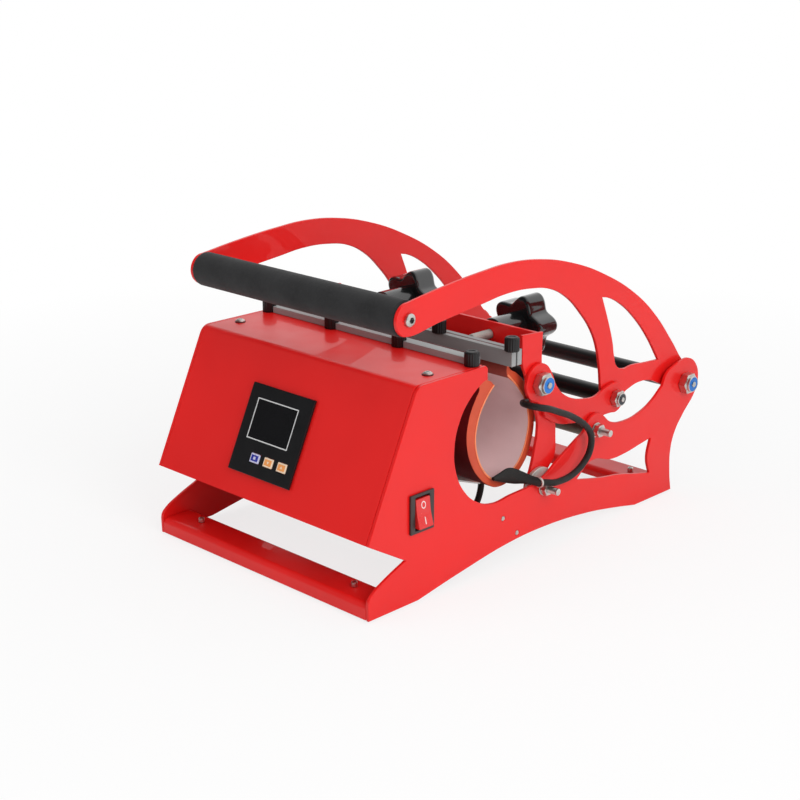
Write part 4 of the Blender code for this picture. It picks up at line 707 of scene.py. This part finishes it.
SLEEVE_SHARES = [
    (0.40, 0.35), (0.45, 1.00), (0.50, 1.60), (0.55, 1.70), (0.70, 1.35), (0.88, 1.05), (1.00, 1.00), (1.00, 1.00),
]
SLEEVE_RADIUS = 0.0040
LEAD_RADIUS = 0.0028

# Heater lead
LEAD_POINTS = [(HALF + x, y + DY, z + DZ) for x, y, z in LEAD_ROUTE]
route = spline_points(LEAD_POINTS, 0.002)
lead_data = bpy.data.curves.new("lead_cord", "CURVE")
lead_data.dimensions = "3D"
lead_data.bevel_depth = LEAD_RADIUS
lead_data.bevel_resolution = 6
lead_data.use_fill_caps = True
lead_spline = lead_data.splines.new("POLY")
lead_spline.points.add(len(route) - 1)
for knot, point in zip(lead_spline.points, route):
    knot.co = (*point, 1)
lead_line = bpy.data.objects.new("lead_line", lead_data)
lead_mesh = bpy.data.meshes.new_from_object(lead_line)
bpy.data.objects.remove(lead_line)
lead_mesh.materials.clear()
lead_mesh.materials.append(BRAID)
lead_mesh.shade_smooth()
lead = bpy.data.objects.new("lead_cord", lead_mesh)
bpy.context.scene.collection.objects.link(lead)
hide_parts("heater_lead")
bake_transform(lead)

sleeve_knots = [(x, y, z, a, b) for (x, y, z), (a, b) in zip(SLEEVE_ROUTE, SLEEVE_SHARES)]
sleeve_rings = []
for x, y, z, depth_share, height_share in spline_points(sleeve_knots, 0.0015):
    ring = []
    for step in range(40):
        angle = 2 * math.pi * step / 40
        across = depth_share * SLEEVE_RADIUS * math.cos(angle)
        up = height_share * SLEEVE_RADIUS * math.sin(angle)
        ring.append((HALF + x + across, y, z + up))
    sleeve_rings.append(ring)
mesh = made_mesh("lead_shrink_sleeve", skin(sleeve_rings))
sleeve = shown("lead_shrink_sleeve", mesh, BRAID, "lead_sleeve", weighted=False, bends=True)

gland_x = HALF - 0.055
gland_y = -0.114
floor_z = PANEL_FOOT[1] + 0.0015
gland_foot = floor_z - GAP - 0.009


def ribbed(angle, radius):
    return radius - (0.0004 * (0.5 + 0.5 * math.cos(12 * angle)) if radius > 0.0066 else 0)


gland_profile = fillet(
    [
        (gland_foot, 0),
        (gland_foot, 0.008, 0.0012),
        (floor_z - GAP, 0.008, 0.0004),
        (floor_z - GAP, 0.006),
        (floor_z + 0.0072, 0.006, 0.0005),
        (floor_z + 0.0072, 0),
    ],
    5,
)
gland = turned(
    "cord_gland", gland_profile, (gland_x, gland_y, 0), "Z", GLAND_BLACK, "lead_gland", sides=96, shape=ribbed
)

# Sheet metal
bend = [side(PLATE_TOP[-1][:2]), (*PANEL_BEND, 0.011), PANEL_FOOT]
plate_loop = (
    outline(PLATE_BOTTOM)
    + outline(PLATE_REAR)
    + arc(ARM_PIVOT, 0.022, -30, 110, 5)
    + outline(PLATE_LENS)
    + arc(STOP, 0.014, 65, 165, 4)
    + outline(PLATE_TOWER)
    + arc(MUG_OPENING, MUG_RADIUS, -76, -249, 9)
    + outline(PLATE_TOP)
    + [(*point, 1) for point in fillet(bend, 16)[1:]]
    + outline(PLATE_FRONT)
)
for name, sign in SIDES:
    opening = (0.0213, 0.0298) if sign > 0 else (0.0280, 0.0212)
    holes = [
        outline(WEDGE_HOLE),
        circle(ARM_PIVOT, 0.0053),
        circle(STOP, 0.0033),
        circle(CLAMP_PIVOT, 0.0033),
        *(circle(side(share), 0.0022) for share in PLATE_HOLES),
        rectangle(SWITCH, *opening),
    ]
    steel(f"{name}_plate", [plate_loop, *holes], sign * PLATE_X, SHEET, 0.0006, f"{name}_side_plate")

cover_path = fillet([PANEL_FOOT, (*PANEL_BEND, 0.006), (COVER_REAR, PANEL_BEND[1])], 20)
steel("cover_sheet", [thicken(cover_path, 0.0015)], 0, 2 * INNER_HALF, 0.0004, "housing_cover")

reach = LENGTH / 2 - GAP
inner = 0.031 - reach
foot_path = fillet([(-reach, GAP), (-reach, 0.013, 0.005), (inner, 0.013, 0.005), (inner, 0.004)], 10)
foot_loop = thicken(foot_path, 0.002)
for name, sign in (("front", 1), ("rear", -1)):
    loop = [(sign * y, z, flag) for y, z, flag in foot_loop]
    steel(f"{name}_foot_channel", [loop], 0, 2 * INNER_HALF, 0.0004, f"{name}_foot_bar")

arm_loop = (
    arc(HANDLE, 0.013, 250, 85, 7)
    + outline(ARM_OUTER)
    + arc(ARM_PIVOT, 0.019, 72, -170, 7)
    + outline(ARM_HEEL)
    + arc(KNEE_PIVOT, 0.0135, -15, -185, 6)
    + outline(ARM_INNER)
)
arm_holes = [outline(ARM_WINDOW), circle(ARM_PIVOT, 0.0053), circle(KNEE_PIVOT, 0.0043), circle(HANDLE, 0.0043)]
link_loop = (
    arc(ELBOW_PIVOT, 0.016, 30, 262, 8)
    + outline(LINK_LOWER)
    + [(STOP[0], STOP[1] + 0.0085)]
    + arc(KNEE_PIVOT, 0.0135, -112, 95, 7)
    + outline(LINK_UPPER)
)
link_holes = [circle(ELBOW_PIVOT, 0.0053), circle(KNEE_PIVOT, 0.0043)]
flange_loop = (
    outline(FLANGE_TOP) + outline(FLANGE_REAR) + arc(CLAMP_PIVOT, 0.014, 30, -205, 7) + outline(FLANGE_FRONT)
)
plate_rear = FLANGE_REAR[0][0] * LENGTH - GAP
back_high = FLANGE_TOP[1][1] * HEIGHT - 0.0008
for name, sign in SIDES:
    steel(f"{name}_handle_arm", [arm_loop, *arm_holes], sign * ARM_X, SHEET, 0.0006, f"{name}_arm")
    steel(f"{name}_link_plate", [link_loop, *link_holes], sign * LINK_X, SHEET, 0.0006, f"{name}_link")
    flange = [flange_loop, circle(CLAMP_PIVOT, 0.0033)]
    steel(f"{name}_clamp_flange", flange, sign * ARM_X, SHEET, 0.0005, body="clamp")
    low, high = ARM_INSIDE - 0.004, ARM_INSIDE + 0.0002
    head = fillet([(low, 0), (low, 0.008, 0.0016), (high, 0.008), (high, 0)])
    turned(f"{name}_elbow_head", handed(head, sign), (0, *ELBOW_PIVOT), "X", ZINC, body="clamp")

back_low = (-ARM_X, plate_rear - SHEET, back_high - 0.0315)
back = block("clamp_back_plate", back_low, (ARM_X, plate_rear, back_high), 0.0005)
hole = [(-0.006, 0), (-0.006, 0.0043), (0.002, 0.0043), (0.002, 0)]
knob_holes = [spun("hole", hole, (sign * KNOB_X, plate_rear, KNOB_Z), "Y", 48) for sign in (-1, 1)]
shown("clamp_back_plate", carve(back, knob_holes), RED, "swing_clamp")

from_cad("rear_wall_sheet", "housing_rear_wall_and_floor", RED, 0.0002, 1)
from_cad("grey_lead_bracket", "lead_bracket", BARE_SHEET, 0.0002, 1)

# Bars and caps
from_cad("front_bar_profile", "front_clamp_bar", ALUMINIUM, 0.0003, 2)
rear = FLANGE_TOP[0][0] * LENGTH - GAP
edge_rear = rear - 0.0052 - GAP
edge_front = edge_rear - 0.0012
bar_front = edge_front - GAP - 0.0052
bar_low = 0.655 * HEIGHT
bar_high = bar_low + 0.013
for row, low, high in (("front", bar_front, edge_front - GAP), ("rear", edge_rear + GAP, rear)):
    name = f"rear_bar_{row}_profile"
    mesh = block(name, (-ARM_OUTSIDE, low, bar_low), (ARM_OUTSIDE, high, bar_high), 0.0004)
    shown(name, mesh, ALUMINIUM, f"rear_bar_{row}_strip")


def fluted(angle, radius):
    if radius < 0.0056:
        return radius
    return radius - 0.00042 * (0.5 - 0.5 * math.cos(18 * angle)) ** 1.5


cap_profile = fillet(
    [
        (0.0, 0.0),
        (0.0, 0.0060, 0.0003),
        (0.0016, 0.0060),
        (0.0103, 0.0060, 0.0006),
        (0.0115, 0.0046, 0.0010),
        (0.0115, 0.0030, 0.0004),
        (0.0111, 0.0026, 0.0002),
        (0.0111, 0.0),
    ],
    4,
)
front_cap_y = -0.1914 * LENGTH + 0.0015
for number in range(4):
    x = (2 * number / 3 - 1) * (ARM_OUTSIDE - 0.001)
    for row, y, z in (("front", front_cap_y, BAR_SEAT), ("rear", bar_front + 0.001, bar_high + GAP)):
        name = f"{row}_knurled_cap_{number + 1}"
        node = f"{row}_cap_{number + 1}"
        turned(name, cap_profile, (x, y, z), "Z", CAP_BLACK, node, sides=144, shape=fluted)

# Heating mat
mat_front = -0.1914 * LENGTH + 0.010 + GAP
mat_top = BAR_SEAT + 0.0055
mat_loop = (
    [(mat_front, mat_top, 1), (mat_front, BAR_SEAT - 0.0055, 1)]
    + outline(MAT_SHOULDER)
    + outline(MAT_OUTER)
    + [(edge_rear, bar_low - GAP, 1), (edge_rear, bar_high - GAP, 1), (edge_front, bar_high - GAP, 1)]
    + [(edge_front, bar_low - GAP, 1)]
    + outline(MAT_INNER)
    + outline(MAT_FLAP)
    + [(mat_front + 0.0012, BAR_SEAT - 0.0055, 1), (mat_front + 0.0012, mat_top, 1)]
)
mat_mesh = flat("mat_shell", [mat_loop], 0, 2 * MAT_HALF, 0.00055, 8)
for made in (MAT_OUTSIDE, MAT_INSIDE, MAT_SHADED_BACK, MAT_SHADED_THROAT):
    mat_mesh.materials.append(made)
# Painted shade: faces turned away from the mat's heart get the dark outer colour, inner faces above 150 mm the
# darkened throat colour, the rest the pale lining; end faces keep the silicone colour.
heart = Vector((0, -0.078 * LENGTH + DY, 0.43 * HEIGHT + DZ))
for face in mat_mesh.polygons:
    if abs(face.normal.x) > 0.3:
        continue
    if face.normal.dot(heart - Vector((0, face.center.y, face.center.z))) < 0:
        face.material_index = 2
    else:
        face.material_index = 3 if face.center.z > 0.150 else 1

shown("mat_shell", mat_mesh, None, "heating_mat", weighted=False, bends=True)
lip_path = spline_points([side(point) for point in reversed(MAT_INNER)], 0.002)
lip_path = [side(MAT_FLAP[0])] + lip_path
for name, sign in SIDES:
    mesh = flat(f"{name}_mat_lip", [thicken(lip_path, 0.0014)], sign * (MAT_HALF + 0.0001), 0.0006, 0.0002)
    shown(f"{name}_mat_lip", mesh, MAT_EDGE, weighted=False, bends=True)

# Star knobs
hub_front = plate_rear + GAP
hub_rear = 0.030
star_rear = hub_rear + 0.024


def star(angle, radius):
    """Five lobes, outside the hub."""
    return radius if radius <= 0.0136 else radius - 0.00375 * (1 - math.cos(5 * (angle - math.radians(15))))


knob_profile = fillet(
    [
        (0, 0),
        (0, 0.0125, 0.0008),
        (hub_rear, 0.0125),
        (hub_rear, 0.0136),
        (hub_rear + 0.0002, 0.0200),
        (hub_rear, 0.0270, 0.0032),
        (star_rear, 0.0270, 0.0040),
        (star_rear, 0.0150, 0.0010),
        (star_rear - 0.0012, 0.0120, 0.0010),
        (star_rear - 0.0012, 0),
    ],
    8,
)
start = rear + GAP - hub_front
screw = [(start, 0), (start, 0.0032)] + threads(start, 0.0149, 0.004, 0.00125)
for name, sign in SIDES:
    place = (sign * KNOB_X, hub_front, KNOB_Z)
    node = f"{name}_star_knob"
    turned(f"{name}_knob_star", knob_profile, place, "Y", KNOB_BLACK, node, sides=160, shape=star, angle=50)
    turned(f"{name}_knob_screw", screw, place, "Y", DULL_ZINC, f"{name}_pressure_screw", sides=40, angle=60)

# Handle
grip_half = ARM_INSIDE - GAP
grip = fillet(
    [
        (-grip_half + 0.001, 0.0083),
        (-grip_half, 0.0092, 0.0004),
        (-grip_half, 0.0140, 0.0022),
        (grip_half, 0.0140, 0.0022),
        (grip_half, 0.0092, 0.0004),
        (grip_half - 0.001, 0.0083),
        (-grip_half + 0.001, 0.0083),
    ],
    8,
)
grip[-1] = grip[0]
turned("foam_grip", grip, (0, *HANDLE), "X", FOAM, "handle_grip", sides=96, angle=50)
head = ARM_OUTSIDE + GAP


def socketed(angle, radius):
    return hex_radius(angle, 0.0044) if abs(radius - 0.0025) < 1e-5 else radius


half = fillet(
    [
        (grip_half, 0.0080),
        (grip_half, 0.0040),
        (head, 0.0040),
        (head, 0.00525, 0.0002),
        (head + 0.0020, 0.0050, 0.0008),
        (head + 0.0030, 0.0032, 0.0004),
        (head + 0.0030, 0.0025),
        (head + 0.0012, 0.0025),
        (head + 0.0012, 0),
    ],
    4,
)
core = both_ways(half)
turned("handle_core_rod", core, (0, *HANDLE), "X", ZINC, "handle_core", sides=96, shape=socketed, angle=30)
low, high = head + 0.0013, head + 0.0014
shade = [(low, 0), (low, 0.00215), (high, 0.00215), (high, 0)]
for name, sign in SIDES:
    turned(f"{name}_socket_shade", handed(shade, sign), (0, *HANDLE), "X", DARK_HOLE, sides=24, body="handle_arms")

# Bolts, nuts and tubes
face = HALF + GAP
outer = LINK_OUTSIDE + GAP
plate_washer = 0.0012
for name, sign in SIDES:
    nut(f"{name}_pivot_nut", ARM_PIVOT, M10, face, sign, "frame", NYLON_BLUE)
    nut(f"{name}_knee_nut", KNEE_PIVOT, M8, outer, sign, "links", NYLON_DARK)
    nut(f"{name}_elbow_nut", ELBOW_PIVOT, M10, outer, sign, "links", NYLON_BLUE)
    for place, made in ((CLAMP_PIVOT, "clamp"), (STOP, "stop")):
        nut(f"{name}_{made}_nut", place, M6, face + plate_washer, sign, "frame")
        ring = handed(hoop(face, face + plate_washer, 0.0031, 0.0063, 0.0003), sign)
        turned(f"{name}_{made}_washer", ring, (0, *place), "X", ZINC, body="frame")

inside = ARM_OUTSIDE + GAP
collar = fillet([(inside, 0.0049), (inside, 0.010, 0.0004), (INNER_HALF, 0.010, 0.0004), (INNER_HALF, 0.0049)], 3)
rod = both_ways(rod_profile(face - 0.001, face + M10[1] + 0.001, M10[3], 0.0015, 0.0026, collar))
turned("pivot_rod", rod, (0, *ARM_PIVOT), "X", ZINC, "arm_pivot_rod", sides=48, angle=50)
rod = both_ways(rod_profile(LINK_OUTSIDE, outer + M8[1] + 0.001, M8[3], 0.00125, 0.0024))
turned("knee_pivot_rod", rod, (0, *KNEE_PIVOT), "X", ZINC, "knee_rod", sides=48, angle=50)

thread_end = face + plate_washer + M6[1] + 0.0097
low = ARM_INSIDE - GAP
head = fillet([(low - 0.0038, 0), (low - 0.0038, 0.0058, 0.0012), (low, 0.0058, 0.0002), (low, 0.0030)], 4)
elbow = [(inside, 0)] + rod_profile(inside, outer + M10[1] + 0.001, M10[3], 0.0015, 0.0026)
clamp = rod_profile(face, thread_end, M6[3], 0.001, collar=head)
disc = hoop(inside, INNER_HALF, 0.0033, 0.0165, 0.0006, 4)
for name, sign in SIDES:
    for piece, profile, place, material, node, sides in (
        ("elbow_stud", elbow, ELBOW_PIVOT, ZINC, "elbow_bolt", 48),
        ("clamp_stud", clamp, CLAMP_PIVOT, ZINC, "clamp_bolt", 48),
        ("spacer_disc", disc, CLAMP_PIVOT, DULL_ZINC, "clamp_spacer", 96),
    ):
        angle = 38 if profile is disc else 50
        given = {"sides": sides, "angle": angle}
        turned(f"{name}_{piece}", handed(profile, sign), (0, *place), "X", material, f"{name}_{node}", **given)
rod = both_ways(rod_profile(face, thread_end, M6[3], 0.001))
turned("stop_stud", rod, (0, *STOP), "X", ZINC, "stop_rod", sides=48, angle=50)
for name, half_length, radius, bore, place, material, node in (
    ("upper_cross_tube", ARM_INSIDE - GAP, 0.0075, 0.0055, ARM_PIVOT, TUBE_BLACK, "arm_cross_tube"),
    ("lower_cross_tube", ARM_INSIDE - GAP, 0.0075, 0.0045, KNEE_PIVOT, TUBE_BLACK, "knee_cross_tube"),
    ("stop_tube", INNER_HALF, 0.0079, 0.0035, STOP, BARE_TUBE, "stop_sleeve"),
):
    turned(name, hoop(-half_length, half_length, bore, radius, 0.0004), (0, *place), "X", material, node)

# Controller
slope = math.atan2(PANEL_BEND[1] - PANEL_FOOT[1], PANEL_BEND[0] - PANEL_FOOT[0])
PANEL = Matrix.Translation((0, PANEL_FOOT[0] + DY, PANEL_FOOT[1] + DZ)) @ Matrix.Rotation(slope, 4, "X")
from_cad("controller_housing", "controller_case", CASE_BLACK, 0.0005, 3)
mesh = block("controller_window", (-0.0298, 0.0476, 0.0017), (0.0161, 0.0790, 0.0024), 0.0001, 2, PANEL)
shown("controller_window", mesh, SCREEN, "controller_screen")
rings = []
for inset, z in ((0, 0.0023), (0, 0.00256), (0.0009, 0.00256), (0.0009, 0.0023)):
    x0, y0, x1, y1 = -0.0307 + inset, 0.0467 + inset, 0.0170 - inset, 0.0799 - inset
    rings.append([(x0, y0, z), (x1, y0, z), (x1, y1, z), (x0, y1, z)])
mesh = made_mesh("screen_outline", skin(rings, closed=True), PANEL)
shown("screen_outline", mesh, GREY_MARK, body="frame", weighted=False)
row = 0.0330
KEYS = (
    ("left", BLUE, LAVENDER, ((-0.0013, -0.0011), (0.0013, -0.0011), (0.0013, 0.0011), (-0.0013, 0.0011))),
    ("middle", ORANGE, PEACH, ((-0.0015, 0.0009), (0.0, -0.0013), (0.0015, 0.0009))),
    ("right", ORANGE, PEACH, ((-0.0015, -0.0009), (0.0015, -0.0009), (0.0, 0.0013))),
)
for number, (name, material, border, corners) in enumerate(KEYS):
    x = 0.0016 + (number - 1) * 0.0158
    low = (x - 0.00525, row - 0.00375, 0.0016)
    high = (x + 0.00525, row + 0.00375, 0.0030)
    shown(f"{name}_key", block(f"{name}_key", low, high, 0.0009, 4, PANEL), border, f"button_{name}")
    low = (x - 0.00405, row - 0.00255, 0.0026)
    high = (x + 0.00405, row + 0.00255, 0.00308)
    mesh = block(f"{name}_key_face", low, high, 0.0004, 3, PANEL)
    shown(f"{name}_key_face", mesh, material, body=f"{name}_button")
    rings = [[(x + a, row + b, z) for a, b in corners] for z in (0.0030, 0.00316)]
    mesh = made_mesh(f"{name}_key_mark", skin(rings), PANEL)
    shown(f"{name}_key_mark", mesh, border, body=f"{name}_button", weighted=False)

# Rocker switch and mains inlet
from_cad("rocker_frame", "rocker_bezel", SWITCH_BLACK, 0.0006, 3)
axis_x = face + 0.002 - 0.0022
section = fillet(
    [
        (-0.0030, -0.0040),
        (0.0010, -0.0115, 0.0003),
        (0.0065, -0.0115, 0.0006),
        (0.0036, 0.0, 0.0300),
        (0.0022, 0.0115, 0.0005),
        (-0.0005, 0.0115, 0.0003),
        (-0.0030, 0.0040, 0.0003),
        (-0.0030, -0.0040),
    ],
    6,
)[:-1]
middle = Vector((0.0012, 0))
rings = []
for across, inset in ((-0.0075, 0.0004), (-0.0071, 0.0), (0.0071, 0.0), (0.0075, 0.0004)):
    ring = []
    for point in section:
        away = Vector(point) - middle
        spot = middle + away - away.normalized() * inset
        ring.append((axis_x + spot.x, SWITCH[0] + across, SWITCH[1] + spot.y))
    rings.append(ring)
shown("rocker_key", made_mesh("rocker_key", skin(rings)), PADDLE, "rocker_paddle", angle=45)


def on_paddle(z, rise):
    """A frame on the paddle's face: x out of the face and y across it."""
    slant = 1.4 / 11.5 if z > 0 else 2.9 / 11.5
    x = 0.0036 - slant * z
    lean = Matrix.Rotation(-math.atan(slant), 4, "Y")
    return Matrix.Translation((axis_x + x + rise, SWITCH[0] + DY, SWITCH[1] + z + DZ)) @ lean


rings = []
for radius, along in ((0.0030, 0), (0.0030, 0.00012), (0.0022, 0.00012), (0.0022, 0)):
    rings.append([(along, 0.8 * y, z) for y, z, _ in circle((0, 0), radius, 32)])
mesh = made_mesh("rocker_off_mark", skin(rings, closed=True), on_paddle(0.0062, 0.00002))
shown("rocker_off_mark", mesh, PALE_MARK, body="rocker", weighted=False)
low, high = (0, -0.0004, -0.0029), (0.00012, 0.0004, 0.0029)
mesh = block("rocker_on_mark", low, high, 0.00003, 1, on_paddle(-0.0058, 0.00002))
shown("rocker_on_mark", mesh, PALE_MARK, body="rocker", weighted=False)

from_cad("inlet_frame", "mains_inlet", SWITCH_BLACK, 0.0004, 2)
bottom = 0.016 - (face + 0.002)
for number in (-1, 0, 1):
    rise = 0.0025 if number == 0 else -0.0025
    y = SWITCH[0] + number * 0.007
    z = SWITCH[1] + rise
    low = (bottom - 0.01005, y - 0.00105, z - 0.00205)
    high = (bottom + 0.0005, y + 0.00105, z + 0.00205)
    shown(f"inlet_pin_{number + 2}", block("inlet_pin", low, high, 0.0003), PIN, body="frame")


# Screws and feet
def crossed(profile, place, sides, arm, half_width, bottom, top, edge):
    """A screw whose head has a cross cut into it, from the bottom up."""
    cuts = []
    for wide, deep in ((arm, half_width), (half_width, arm)):
        low = (place[0] - wide, place[1] - deep, place[2] + bottom)
        high = (place[0] + wide, place[1] + deep, place[2] + top)
        cuts.append(block("slot", low, high, edge, 1))
    return carve(spun("screw", profile, place, "Z", sides), cuts)


screw = fillet(
    [
        (-0.008, 0),
        (-0.008, 0.0019),
        (GAP, 0.0019),
        (GAP, 0.0040, 0.0003),
        (0.0013, 0.0040, 0.0006),
        (0.0025, 0.0022, 0.0008),
        (0.0025, 0),
    ],
    5,
)
shade = fillet([(0.0, 0.0046), (0.00028, 0.0046, 0.0001), (0.00028, 0.0020), (0.0, 0.0020), (0.0, 0.0046)], 2)
for name, sign in SIDES:
    place = (sign * (HALF - 0.0165), SCREW_Y, PANEL_BEND[1])
    mesh = crossed(screw, place, 64, 0.0021, 0.00035, 0.0016, 0.0035, 0.0001)
    shown(f"{name}_cover_screw_head", mesh, ZINC, f"cover_screw_{name}", angle=30)
    turned(f"{name}_screw_shade", shade, place, "Z", DARK_HOLE, body="frame")

foot_y = LENGTH / 2 - GAP - 0.017
foot = fillet(
    [
        (-0.0145, 0),
        (-0.0145, 0.0058, 0.0006),
        (-0.0133, 0.0070, 0.0006),
        (-0.0023, 0.0070, 0.0004),
        (-0.0023, 0.0022),
        (GAP, 0.0022),
        (GAP, 0.0010),
        (GAP, 0),
    ],
    4,
)
screw = fillet([(GAP, 0), (GAP, 0.0026, 0.0002), (0.0039, 0.0026, 0.0006), (0.0045, 0.0010, 0.0003), (0.0045, 0)], 4)
for end_name, end_sign in (("front", -1), ("rear", 1)):
    for name, sign in SIDES:
        place = (sign * (HALF - 0.033), end_sign * foot_y, 0.013)
        node = f"rubber_foot_{end_name}_{name}"
        turned(f"{end_name}_{name}_rubber_foot", foot, place, "Z", RUBBER, node, sides=48)
        mesh = crossed(screw, place, 48, 0.0016, 0.0003, 0.0036, 0.006, 0.00008)
        shown(f"{end_name}_{name}_foot_screw", mesh, ZINC, body="frame", angle=30)

low, high = HALF - 0.0022, HALF + 0.0004
screw = [(low, 0), (low, 0.0019), (high - 0.0006, 0.0019), (high, 0.0012), (high, 0)]
for name, sign in SIDES:
    for number, share in enumerate(PLATE_HOLES):
        mesh = spun("plate_screw", handed(screw, sign), (0, *side(share)), "X", 32)
        shown(f"{name}_plate_screw_{number + 1}", mesh, ZINC, body="frame", angle=30)
ring = hoop(-0.0009, 0.0009, 0.0036, 0.0045, 0.0003, 4)
turned("sleeve_ring", ring, (HALF + 0.0053, -0.0030, 0.0611), "Y", DULL_ZINC, sides=48, body="frame")

# Light, floor and world
floor_look = bpy.data.materials.new("look_floor")
floor_look.use_nodes = True
tree = floor_look.node_tree
shader = tree.nodes["Principled BSDF"]
for socket, value in {"Base Color": grey(0.93), "Roughness": 0.9, "Specular IOR Level": 0.1}.items():
    shader.inputs[socket].default_value = value
glow = add_node(tree, "Emission", {"Color": grey(1.0), "Strength": 1.0})
spot = add_node(tree, "NewGeometry").outputs["Position"]
far = add_node(tree, "VectorMath", {0: spot}, operation="LENGTH").outputs["Value"]
seen = add_node(tree, "LightPath").outputs["Is Camera Ray"]
fade = map_range(tree, far, 0.30, 0.90, 0.78, 1.0)
share = add_node(tree, "Math", {0: seen, 1: fade}, operation="MULTIPLY").outputs[0]
blend = add_node(tree, "MixShader", {0: share, 1: shader.outputs[0], 2: glow.outputs[0]})
tree.links.new(blend.outputs[0], tree.nodes["Material Output"].inputs[0])
edit = bmesh.new()
bmesh.ops.create_grid(edit, x_segments=1, y_segments=1, size=6)
floor = bpy.data.objects.new("floor", made_mesh("floor", edit, Matrix()))
floor.data.materials.append(floor_look)
bpy.context.scene.collection.objects.link(floor)

world = bpy.data.worlds.new("studio")
bpy.context.scene.world = world
world.use_nodes = True
tree = world.node_tree
background = tree.nodes["Background"]
background.inputs["Color"].default_value = grey(1.0)
background.inputs["Strength"].default_value = 0.42
white = add_node(tree, "Background", {"Color": grey(1.0), "Strength": 1.0})
rays = add_node(tree, "LightPath")
around = add_node(tree, "TexCoord").outputs["Generated"]
toward = add_node(tree, "VectorMath", {0: around, 1: (0.35, 0.94, 0.0)}, operation="DOT_PRODUCT")
fade = map_range(tree, toward.outputs["Value"], -0.35, 0.25, 0.06, 1.0)
mirrored = add_node(tree, "Background", {"Color": grey(1.0), "Strength": fade})
values = {0: rays.outputs["Is Glossy Ray"], 1: background.outputs[0], 2: mirrored.outputs[0]}
glossy = add_node(tree, "MixShader", values)
values = {0: rays.outputs["Is Camera Ray"], 1: glossy.outputs[0], 2: white.outputs[0]}
blend = add_node(tree, "MixShader", values)
tree.links.new(blend.outputs[0], tree.nodes["World Output"].inputs[0])


def area(name, place, target, width, height, power):
    data = bpy.data.lights.new(name, "AREA")
    data.shape = "RECTANGLE"
    data.size = width
    data.size_y = height
    data.energy = power
    lamp = bpy.data.objects.new(name, data)
    lamp.location = place
    lamp.visible_glossy = False
    lamp.rotation_euler = (Vector(target) - Vector(place)).to_track_quat("-Z", "Y").to_euler()
    bpy.context.scene.collection.objects.link(lamp)


area("key", (2.0, -0.5, 1.3), (0, 0, 0.1), 1.4, 1.4, 31)
area("fill", (-1.2, -1.9, 1.2), (0, 0, 0.1), 1.6, 1.2, 10)
area("top", (0.1, 0.3, 2.2), (0, 0, 0), 1.8, 1.8, 10)

view = bpy.context.scene.view_settings
view.view_transform = "Standard"
